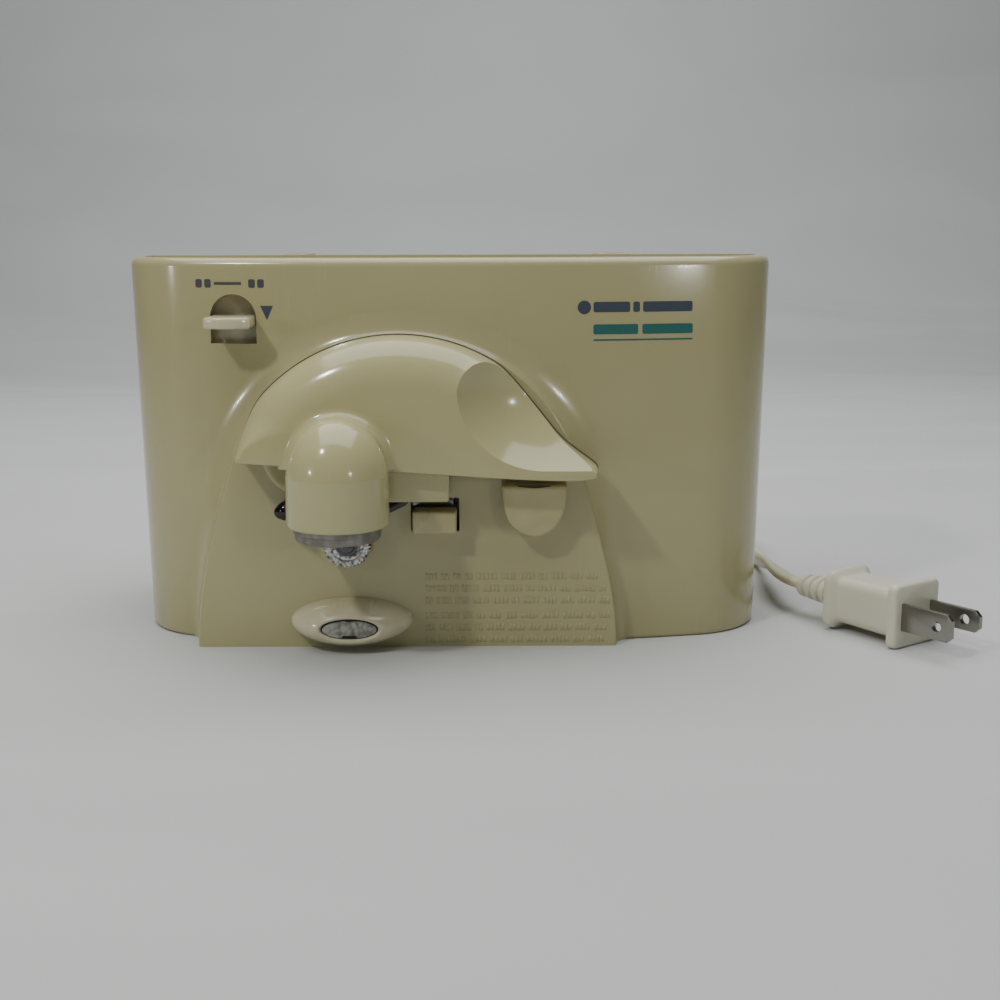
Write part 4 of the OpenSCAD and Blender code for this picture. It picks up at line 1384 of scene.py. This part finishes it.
    def decal(self, name: str, outlines: Iterable[Sequence[Point2]], ink: Finish) -> None:
        """A printed mark that follows the case's front.

        Args:
            name: the piece's name.
            outlines: each mark's outline.
            ink: its finish.
        """
        form = Form(name)
        for outline in outlines:
            form.prism(outline, 0.0, self.ink_t)
        low = min(v.co.x for v in form.bm.verts)
        high = max(v.co.x for v in form.bm.verts)
        for i in range(1, round((high - low) / self.ink_step)):
            bmesh.ops.bisect_plane(form.bm, geom=form.whole(),
                                   plane_co=(low + i * self.ink_step, 0, 0), plane_no=(1, 0, 0))
        for v in form.bm.verts:
            v.co.y += self.front_at(v.co.x, v.co.z) - self.ink_proud
        self.shop.done(form, ink, Rider.CASE, "case_plastic", smooth=False)

    def marks(self) -> None:
        """Plain marks in place of lettering: small blocks, a triangle, a disc and bars."""
        symbols = [rounded_box(x, 102.7, x + 1.9, 105.1, 0.5, 3) for x in (-71.6, -69.0)]
        symbols += [rounded_box(x, 102.7, x + 1.9, 105.1, 0.5, 3) for x in (-56.2, -53.6)]
        symbols.append(rounded_box(-66.2, 103.5, -58.2, 104.3, 0.35, 3))
        self.decal("release_symbol", symbols, INK_GREY)
        self.decal("release_pointer", [[(-53, 97.7), (-51.1, 93.7), (-49.3, 97.7)]], INK_BLUE)
        bars = [rounded_box(x0, 95.7, x1, 98.6, 0.5, 3) for x0, x1 in ((40.8, 51.2), (52.1, 54.0),
                                                                       (54.9, 69.2))]
        bars.append([(38.2 + 1.9 * math.cos(TAU * k / 28), 97.1 + 1.9 * math.sin(TAU * k / 28))
                     for k in range(28)])
        self.decal("front_bar", bars, INK_BLUE)
        teal = [rounded_box(x0, 89.5, x1, 92.3, 0.5, 3) for x0, x1 in ((40.8, 53.6), (54.8, 69.4))]
        teal.append(rounded_box(40.8, 87.7, 69.4, 88.15, 0.2, 2))
        self.decal("front_bar_teal", teal, INK_TEAL)


# ---------------------------------------------------------------- the lever


@dataclass
class CuttingLever:
    """The hinged lever: its domed shell with the finger scoop, its hub, magnet and cutter."""

    shop: Workshop
    arch: tuple = (-14.0, 38.5, 51.6)
    face_y: float = -14.0
    side_y: float = -3.2
    back_y: float = -1.2
    shell: float = 2.4
    dome_at: tuple = (-29.6, -20.0)
    dome_r: float = 14.0
    dome_foot: float = 40.0
    dome_line: float = 54.0
    dome_top: float = 69.4
    scoop_at: tuple = (27.0, -31.1, 75.7)
    scoop_r: float = 28.1
    scoop_shape: tuple = (1.09, 1.0, 0.99)
    scoop_run: float = 20.0
    pivot_at: Point2 = (-41.0, 56.5)
    cutter_at: Point2 = (-29.6, 43.0)
    magnet_r: float = 11.9
    magnet_y: float = -21.3
    cutter_r: float = 8.0

    def rim(self) -> list[tuple[float, float, float]]:
        """The lever's outline with the width of its rounded edge at each point, anticlockwise.

        Returns:
            Its points and widths.
        """
        cx, cz, r = self.arch
        top = []
        for i in range(57):
            a = 136 - 79 * i / 56
            wide = 13.0 - 11.5 * smooth_step(68, 57, a)
            turn = math.radians(a)
            top.append((cx + r * math.cos(turn), cz + r * math.sin(turn), wide))
        start, end = top[0][:2], top[-1][:2]
        side = bezier((-59.2, 57.4), (-57.2, 64.0), (start[0] - 3.9, start[1] - 4.04), start, 16)
        side = [(x, z, 2.2 + 10.8 * smooth_step(0, 14, k)) for k, (x, z) in enumerate(side)][:-1]
        flank = [(x, z, 1.5) for x, z in bezier(end, (end[0] + 3.4, end[1] - 2.2), (27.2, 66.3),
                                                (30.5, 62.6), 16)]
        flank += [(x, z, 1.4) for x, z in bezier((30.5, 62.6), (33.8, 58.9), (38.2, 56.45),
                                                 (41.2, 53.93), 10)][1:-1]
        tip = [(x, z, 1.3) for x, z in arc(39.9, 52.4, 2.0, 50, -85, 10)]
        foot = [(x, z, 0.9) for x, z in bezier((36.0, 50.2), (22, 49.9), (-3, 52.3),
                                               (-30, 53.9), 24)]
        foot += [(-36, 54.15, 0.9), (-44.7, 54.5, 0.9), (-49.5, 54.75, 0.9), (-53.6, 55.05, 0.95)]
        left = [(x, z, 1.0 + 1.0 * k / 7)
                for k, (x, z) in enumerate(arc(-57.4, 57.0, 1.8, 264, 178, 7))]
        top = side + top
        return (top + flank[1:] + tip + foot + left)[::-1]

    def plate(self, name: str, inset: float, face: float, side: float, back: float) -> Form:
        """The lever's solid with a broad rounded edge.

        Args:
            name: the form's name.
            inset: how far its outline is set in.
            face: the plane of its front.
            side: where its straight sides end and the rounding starts.
            back: the plane of its back.

        Returns:
            The form.
        """
        form, rim = Form(name), self.rim()
        normals = outward([(x, z) for x, z, _ in rim], closed=True)
        rings = []
        for y, k in [(back, 0.0)] + [(side + (face - side) * math.sin(a), 1 - math.cos(a))
                                     for a in (math.radians(7.5 * i) for i in range(13))]:
            rings.append([(x - nx * (inset + k * w), y, z - nz * (inset + k * w))
                          for (x, z, w), (nx, nz) in zip(rim, normals)])
        form.skin(rings)
        return form

    def slab(self, grow: float, front: float, back: float) -> Form:
        """A straight slab of the lever's outline, let out all round.

        Args:
            grow: how far the outline is let out.
            front: the plane of its front.
            back: the plane of its back.

        Returns:
            The form.
        """
        form, rim = Form("lever_gap_shadow_ring"), self.rim()
        normals = outward([(x, z) for x, z, _ in rim], closed=True)
        form.skin([[(x + nx * grow, y, z + nz * grow) for (x, z, _), (nx, nz) in zip(rim, normals)]
                   for y in (back, front)])
        return form

    def paint_lever_gap_shadow(self) -> None:
        """A painted shadow: a thin dark ring behind the lever's edge, standing in for the shade in
        the gap between the lever and the panel.
        """
        line = self.slab(0.3, -1.5, -1.15).raw()
        carve(line, self.slab(-0.9, -2.0, -0.8))
        self.shop.done(line, SEAM_SHADOW_PAINT, Rider.LEVER, "case_plastic", smooth=False)

    def tomb(self, half: float, foot: float, shoulder: float, n: int = 28) -> list[Point2]:
        """An arch on two upright sides, the dome's section."""
        x = self.dome_at[0]
        return [(x + half, foot)] + arc(x, shoulder, half, 0, 180, n) + [(x - half, foot)]

    def dome(self) -> Form:
        """The dome over the magnet: a drum with a slight crease below its cap.

        Returns:
            The form.
        """
        form, r = Form("dome"), self.dome_r
        low, line, rise = self.dome_foot, self.dome_line, self.dome_top - self.dome_line
        profile: list[Point2] = [(0, low), (r - 1.1, low), (r - 0.45, low + 0.2),
                                 (r - 0.1, low + 0.6), (r, low + 1.3), (r - 0.2, line)]
        profile += [((r - 0.25) * math.cos(a), line + rise * (math.sin(a) - 0.08) / 0.92)
                    for a in (math.radians(4.6 + 85.4 * i / 22) for i in range(23))]
        form.lathe(profile, (self.dome_at[0], self.dome_at[1], 0), (0, 0, 1), steps=96)
        return form

    def collar(self) -> Form:
        """The concave sweep where the dome grows out of the lever's face.

        Returns:
            The form.
        """
        form, sweep = Form("collar"), 4.2
        rings = []
        for i in range(13):
            t = i / 12
            y = self.face_y + 0.15 - sweep * t
            half = math.sqrt(self.dome_r ** 2 - (y - self.dome_at[1]) ** 2) - 0.12 - 0.5 * t
            half += sweep * (1 - math.sqrt(1 - (1 - t) ** 2))
            rings.append([(x, y, z) for x, z in self.tomb(half, 54.4, 55.4)])
        rings.insert(0, [(x, y + 1.5, z) for x, y, z in rings[0]])
        form.skin(rings)
        return form

    def bowl(self, extra: float, fineness: int) -> Form:
        """The oval ball that scoops out the finger rest.

        Args:
            extra: how much larger it is than the scoop.
            fineness: how many steps a quarter turn has.

        Returns:
            The form.
        """
        form, r = Form("bowl"), self.scoop_r + extra
        turn = [math.pi * k / (2 * fineness) for k in range(fineness + 1)]
        line = [(r * math.sin(t), -r * math.cos(t)) for t in turn]
        line += [(r * math.cos(t), self.scoop_run + r * math.sin(t)) for t in turn]
        form.lathe(line, (0, 0, 0), (1, 0, 0), steps=4 * fineness)
        bmesh.ops.scale(form.bm, verts=form.bm.verts[:], vec=self.scoop_shape)
        bmesh.ops.translate(form.bm, verts=form.bm.verts[:], vec=self.scoop_at)
        return form

    def body(self) -> None:
        """The lever's moulded shell."""
        lever = self.plate("lever_shell", 0.0, self.face_y, self.side_y, self.back_y).raw()
        hollow = self.plate("room", self.shell, self.face_y + self.shell, -1.5, 0.4).raw()
        carve(hollow, self.bowl(self.shell, 20))
        carve(lever, self.collar(), "UNION")
        carve(lever, self.dome(), "UNION")
        carve(lever, reopened(hollow, "inner"))
        back = Form("back_room")
        back.box((self.pivot_at[0] - 12, -9.2, 36), (-9, 2, 64.5))
        carve(lever, back)
        tab = Form("tab")
        edges = {e for v in tab.box((-20, -9.5, 44.2), (0.2, -6.3, 54.2)) for e in v.link_edges}
        tab.bevel([e for e in edges if all(v.co.x > 0 for v in e.verts)
                   or (all(v.co.y < -9 or v.co.x > 0 for v in e.verts)
                       and max(v.co.z for v in e.verts) < 54)], 0.7, 3)
        carve(lever, tab, "UNION")
        stem = Form("stem")
        stem.box((-8, -7, 44.7), (-0.5, -1.3, 53.8))
        carve(lever, stem, "UNION")
        pocket = Form("pocket")
        pocket.lathe([(0, 30), (self.magnet_r + 0.15, 30), (self.magnet_r + 0.15, 43.9),
                      (2.1, 43.9), (2.1, 52), (0, 52)],
                     (self.dome_at[0], self.magnet_y, 0), (0, 0, 1), steps=72)
        carve(lever, pocket)
        carve(lever, self.bowl(0.0, 44))
        form = reopened(lever, "lever_shell")
        self.soften(form)
        self.shop.done(form, CREAM_LEVER, Rider.LEVER, "case_plastic", ("lever",), angle=30)

    def on_bowl(self, co: Vector) -> bool:
        """Whether a place lies on the scoop's surface.

        Args:
            co: the place.

        Returns:
            Whether it does, within a few hundredths.
        """
        flat = [(c - o) / k for c, o, k in zip(co, self.scoop_at, self.scoop_shape)]
        flat[0] -= min(max(flat[0], 0.0), self.scoop_run)
        return abs(Vector(flat).length - self.scoop_r) < 0.06

    def soften(self, form: Form) -> None:
        """Rounds the scoop's edge a little.

        Args:
            form: the lever's shell.
        """
        edges = [e for e in form.sharp(18) if e.verts[0].co.y < -3.0
                 and all(self.on_bowl(v.co) for v in e.verts)]
        if edges:
            form.bevel(edges, 0.55, 3)

    def hub(self) -> None:
        """The round hub behind the lever, round its pivot."""
        form = Form("lever_hub_disc")
        x, z = self.pivot_at
        form.lathe([(3.02, -0.6), (11.0, -0.6), (11.4, -1.0), (11.4, -3.3), (11.2, -3.8),
                    (10.7, -4.1), (10.0, -4.2), (9.2, -4.0), (3.02, -4.0), (3.02, -0.6)],
                   (x, 0, z), steps=72)
        self.shop.done(form, CREAM_LEVER, Rider.LEVER, "case_plastic", ("lever_hub",))

    def magnet(self) -> None:
        """The lid magnet: a thick disc with a stepped, chipped rim."""
        form, r = Form("lid_magnet_disc"), self.magnet_r
        form.lathe([(2.0, 43.8), (r, 43.8), (r, 38.9), (r - 0.15, 38.7), (r - 0.15, 37.5),
                    (r - 0.5, 36.8), (r - 1.1, 36.5), (7.4, 36.5), (7.1, 36.8), (4.6, 36.8),
                    (4.3, 36.5), (2.0, 36.5), (2.0, 43.8)],
                   (self.dome_at[0], self.magnet_y, 0), (0, 0, 1), steps=96)
        draw = random.Random(3)
        centre = Vector((self.dome_at[0], self.magnet_y, 0))
        for v in form.bm.verts:
            flat = v.co - centre
            if v.co.z < 38.8 and math.hypot(flat.x, flat.y) > r - 0.7:
                v.co -= Vector((flat.x, flat.y, 0)).normalized() * draw.uniform(0.0, 0.22)
        self.shop.done(form, MAGNET, Rider.LEVER, "magnet_ferrite", ("lid_magnet",))

    def cutter(self) -> None:
        """The bevelled cutting wheel and its steel carrier, with the carrier's knob and strap."""
        x, z = self.cutter_at
        wheel, r = Form("cutting_disc"), self.cutter_r
        wheel.lathe([(1.56, -6.3), (r - 0.1, -6.3), (r, -6.45), (r, -6.6), (r - 0.25, -6.75),
                     (r - 3.4, -8.1), (r - 3.8, -8.2), (1.56, -8.2), (1.56, -6.3)],
                    (x, 0, z), steps=96)
        self.shop.done(wheel, CHROME_DARK_REFLECTION, Rider.CUTTER, "cutter_chrome", ("cutting_wheel",))
        carrier = Form("cutter_carrier")
        edges = carrier.prism([(-13.2, 43.2), (-12.6, 44.5), (-14.5, 47), (-16, 58), (-36, 63),
                               (-46, 60), (-44.5, 50), (-46.2, 43.6), (-48.4, 40.7), (-45, 38.9),
                               (-22, 39), (-17.6, 40.6)], -5.8, -4.6)
        carrier.bevel(edges, 0.25, 2)
        made = carrier.raw()
        bores = Form("bores")
        for (bx, bz), br in ((self.pivot_at, 3.02), (self.cutter_at, 1.5)):
            bores.lathe([(0, -9), (br, -9), (br, 0), (0, 0)], (bx, 0, bz), steps=40)
        carve(made, bores)
        self.shop.done(made, CHROME_DARK_REFLECTION, Rider.LEVER, "cutter_chrome", ("cutter_plate",))
        knob = Form("cutter_carrier_knob")
        knob.lathe([(0, 0), (2.75, 0), (2.8, 0.5), (2.5, 1.4), (1.7, 2.6), (1.3, 3.1), (0.7, 3.45),
                    (0, 3.55)], (-45.3, -7.2, 41.6), (-0.97, 0, -0.24), steps=48)
        self.shop.done(knob, BLACK_REFLECTION_CHROME, Rider.LEVER, "dark_steel")
        strap = Form("cutter_carrier_strap")
        edges = strap.prism([(-19.5, 39.5), (-18.0, 40.0), (-12.4, 42.7), (-11.5, 43.4),
                             (-11.3, 44.6), (-13.4, 44.9), (-19.5, 42.2)], -6.9, -5.9)
        strap.bevel(edges, 0.2, 2)
        self.shop.done(strap, BLACK_REFLECTION_CHROME, Rider.LEVER, "dark_steel")

    def build(self) -> None:
        """Makes the lever's pieces."""
        self.body()
        self.paint_lever_gap_shadow()
        self.hub()
        self.magnet()
        self.cutter()


# ---------------------------------------------------------------- what the panel carries


@dataclass
class PanelParts:
    """The drive wheel, rim guide, lever stop, can rest and release slider on the front."""

    shop: Workshop
    drive_at: Point2 = (-29.0, 31.3)
    wheel_r: float = 6.9
    teeth: int = 36
    rest_at: Point2 = (-28.4, 8.0)
    guide_at: Point2 = (-4.1, 37.6)
    stop_x: float = 24.0
    slider_x: float = -61.0
    slider_z: float = 93.4
    slider_y: float = 13.0

    def tooth_ring(self, tip: float, root: float, y: float) -> list[tuple[float, float, float]]:
        """One ring of the drive wheel's teeth.

        Args:
            tip: the radius at the teeth's tips.
            root: the radius between them.
            y: the ring's plane.

        Returns:
            Its points.
        """
        (x, z), points = self.drive_at, []
        for i in range(self.teeth):
            for k, d in ((0.0, root), (0.32, tip), (0.62, tip), (0.94, root)):
                a = TAU * (i + k) / self.teeth
                points.append((x + d * math.cos(a), y, z + d * math.sin(a)))
        return points

    def drive_wheel(self) -> None:
        """The serrated wheel that turns the can, and its slotted screw."""
        x, z = self.drive_at
        form, r = Form("serrated_wheel"), self.wheel_r
        form.skin([self.tooth_ring(tip, root, y) for tip, root, y in (
            (4.6, 4.6, -4.7), (4.75, 4.75, -5.1), (5.0, 5.0, -5.2), (r - 0.55, r - 0.85, -5.2),
            (r - 0.1, r - 0.72, -4.85), (r, r - 0.7, -4.5), (r, r - 0.7, -2.0),
            (r - 0.3, r - 0.8, -1.6))])
        self.shop.done(form, WHEEL_STEEL, Rider.OUTPUT, "wheel_steel", ("drive_wheel",), angle=24)
        screw = Form("wheel_screw_head")
        screw.lathe([(0, 0), (1.25, 0), (1.25, -4.4), (3.2, -4.4), (3.2, -5.6), (3.05, -5.8),
                     (2.5, -5.85), (2.4, -6.3), (2.1, -6.7), (1.2, -6.95), (0, -7.0)],
                    (x, 0, z), steps=56)
        head = screw.raw()
        slot = Form("slot")
        slot.box((x - 2.9, -8, z - 0.42), (x + 2.9, -6.2, z + 0.42))
        carve(head, slot)
        self.shop.done(head, DARK_STEEL, Rider.OUTPUT, "dark_steel", ("wheel_screw",))

    def guide(self) -> None:
        """The moulded block that a can's rim slides on, and the steel leaf above it."""
        gx, gz = self.guide_at
        block = Form("rim_guide_block")
        verts = block.box((gx - 6.2, -6.2, gz - 3.2), (gx + 6.2, 5.5, gz + 3.3))
        block.bevel([e for e in {e for v in verts for e in v.link_edges}
                     if min(v.co.y for v in e.verts) < 0], 0.75, 4)
        self.shop.done(block, CREAM_WORN, Rider.CASE, "case_plastic", ("rim_guide",))
        leaf = Form("rim_guide_leaf")
        leaf.box((gx - 6.6, 1.2, gz + 3.7), (gx + 5.2, 2.0, gz + 5.9))
        leaf.box((gx - 6.6, 1.21, gz + 3.7), (gx + 5.2, 9, gz + 4.4))
        leaf.bevel(list(leaf.bm.edges), 0.15, 2)
        self.shop.done(leaf, CHROME_DARK_REFLECTION, Rider.CASE, "cutter_chrome", ("guide_leaf",))

    def stop(self) -> None:
        """The shield-shaped stop under the lever's tip, with a painted shadow crescent on its top.
        """
        form, x = Form("lever_stop_shield"), self.stop_x
        half = bezier((9.1, 48.2), (9.3, 41), (7.6, 34.2), (0, 33.4), 16)
        outline = ([(x - dx, z) for dx, z in half] + [(x + dx, z) for dx, z in reversed(half[:-1])])
        normals = outward(outline, closed=True)
        rings = []
        for y, d in ((0.6, 0.0), (-5.3, 0.0), (-5.7, 0.1), (-6.0, 0.35), (-6.16, 0.65),
                     (-6.2, 1.0)):
            rings.append([(px - nx * d, y, pz - nz * d)
                          for (px, pz), (nx, nz) in zip(outline, normals)])
        form.skin(rings)
        self.shop.done(form, CREAM_WORN, Rider.CASE, "case_plastic", ("lever_stop",), angle=40)
        # Painted shadow: a thin dark crescent on the stop's top, where the lever's edge shades it.
        gap = Form("lever_stop_painted_shadow")
        gap.prism([(x - 4.6 + 9.2 * i / 12, 48.05 - 0.5 * math.sin(math.pi * i / 12))
                   for i in range(13)] + [(x + 4.6, 48.2), (x - 4.6, 48.2)], -6.24, -5.6)
        self.shop.done(gap, PAINTED_GAP_SHADE, Rider.CASE, "case_plastic", smooth=False)

    def rest(self) -> None:
        """The oval rest low on the panel, the speckled steel insert sunk in it, and a dark oval
        behind the insert that is painted shade in its recess.
        """
        x, z = self.rest_at
        form = Form("can_rest_oval")
        shape = spline([(0.6, 17.75, 6.85), (0.0, 17.6, 6.8), (-2.4, 17.0, 6.6), (-4.6, 15.7, 6.2),
                        (-6.6, 13.8, 5.55), (-8.3, 11.6, 4.7), (-9.2, 9.9, 4.1), (-9.48, 9.2, 3.75),
                        (-9.5, 8.9, 3.5)], 4)
        stations = [tuple(p) for p in shape] + [(-9.42, 8.6, 3.25), (-9.2, 8.35, 3.05),
                                                (-8.8, 8.2, 2.95), (-8.3, 8.2, 2.95)]
        rings = []
        for y, rx, rz in stations:
            drop = 0.4 * smooth_step(-4, -9.4, y)
            rings.append([(x + rx * math.cos(a), y, z - drop + rz * math.sin(a))
                          for a in (TAU * k / 96 for k in range(96))])
        form.skin(rings)
        self.shop.done(form, REST_PLASTIC, Rider.CASE, "case_plastic", ("can_rest",), angle=35)
        insert = Form("can_rest_insert")
        rings = []
        for y, k in ((-8.25, 1.0), (-8.75, 1.0), (-8.95, 0.985), (-9.0, 0.95), (-8.9, 0.80),
                     (-8.9, 0.4)):
            ring = []
            for i in range(96):
                a = TAU * i / 96
                notch = 0.34 * (smooth_step(0.32, 0.26, abs(a - 1.5 * math.pi))
                                + smooth_step(0.16, 0.10, abs(a - 0.5 * math.pi)) * 0.3)
                ring.append((x + 7.75 * k * math.cos(a), y,
                             z - 0.52 + 2.6 * k * math.sin(a) * (1 - notch)))
            rings.append(ring)
        insert.skin(rings)
        # Painted shade: a near-black oval just behind the insert and a little larger and higher,
        # showing as a dark rim round it, widest at the top.
        recess_shade = Form("can_rest_painted_shade")
        recess_shade.skin([[(x + 8.12 * math.cos(TAU * k / 72), y, z - 0.4 + 2.9 * math.sin(TAU * k / 72))
                    for k in range(72)] for y in (-8.1, -8.6)])
        self.shop.done(recess_shade, PAINTED_GAP_SHADE, Rider.CASE, "dark_steel", smooth=False)
        self.shop.done(insert, INSERT, Rider.CASE, "dark_steel", ("rest_insert",), angle=25)

    def slider(self) -> None:
        """The release slider: its plate behind the window and its curved finger tab."""
        x, z, y = self.slider_x, self.slider_z, self.slider_y
        form = Form("release_tab")
        front = [(x + 6.4 * k / 10, 8 - math.sqrt(12.5 ** 2 - (6.4 * k / 10) ** 2) + 0.1)
                 for k in range(-10, 11)]
        outline = [(x + 6.4, y + 0.4)] + [(x - 6.4, y + 0.4)] + front
        rings = []
        normals = outward(outline, closed=True)
        for h, d in ((-1.6, 0.8), (-1.5, 0.35), (-1.2, 0.08), (-0.9, 0), (0.9, 0), (1.2, 0.08),
                     (1.5, 0.35), (1.6, 0.8)):
            rings.append([(px - nx * d, py - ny * d, z + h)
                          for (px, py), (nx, ny) in zip(outline, normals)])
        form.skin(rings)
        verts = form.box((x - 8.5, y, z - 11.5), (x + 8.5, y + 2, z + 10.5))
        form.bevel({e for v in verts for e in v.link_edges}, 0.3, 2)
        self.shop.done(form, REST_PLASTIC, Rider.RELEASE, "case_plastic", ("release_slider",),
                       angle=35)

    def build(self) -> None:
        """Makes the pieces on the panel."""
        self.drive_wheel()
        self.guide()
        self.stop()
        self.rest()
        self.slider()


def main() -> None:
    """Builds everything in order."""
    paints = Paints()
    paints.dress_cad()
    shop = Workshop(paints)
    studio = Studio()
    studio.camera()
    studio.lights()
    studio.sweep()
    MainsLead(shop).build()
    CaseShell(shop).build()
    CuttingLever(shop).build()
    PanelParts(shop).build()


logging.basicConfig(level=logging.INFO, format="%(message)s")

if __name__ == "__main__":
    main()
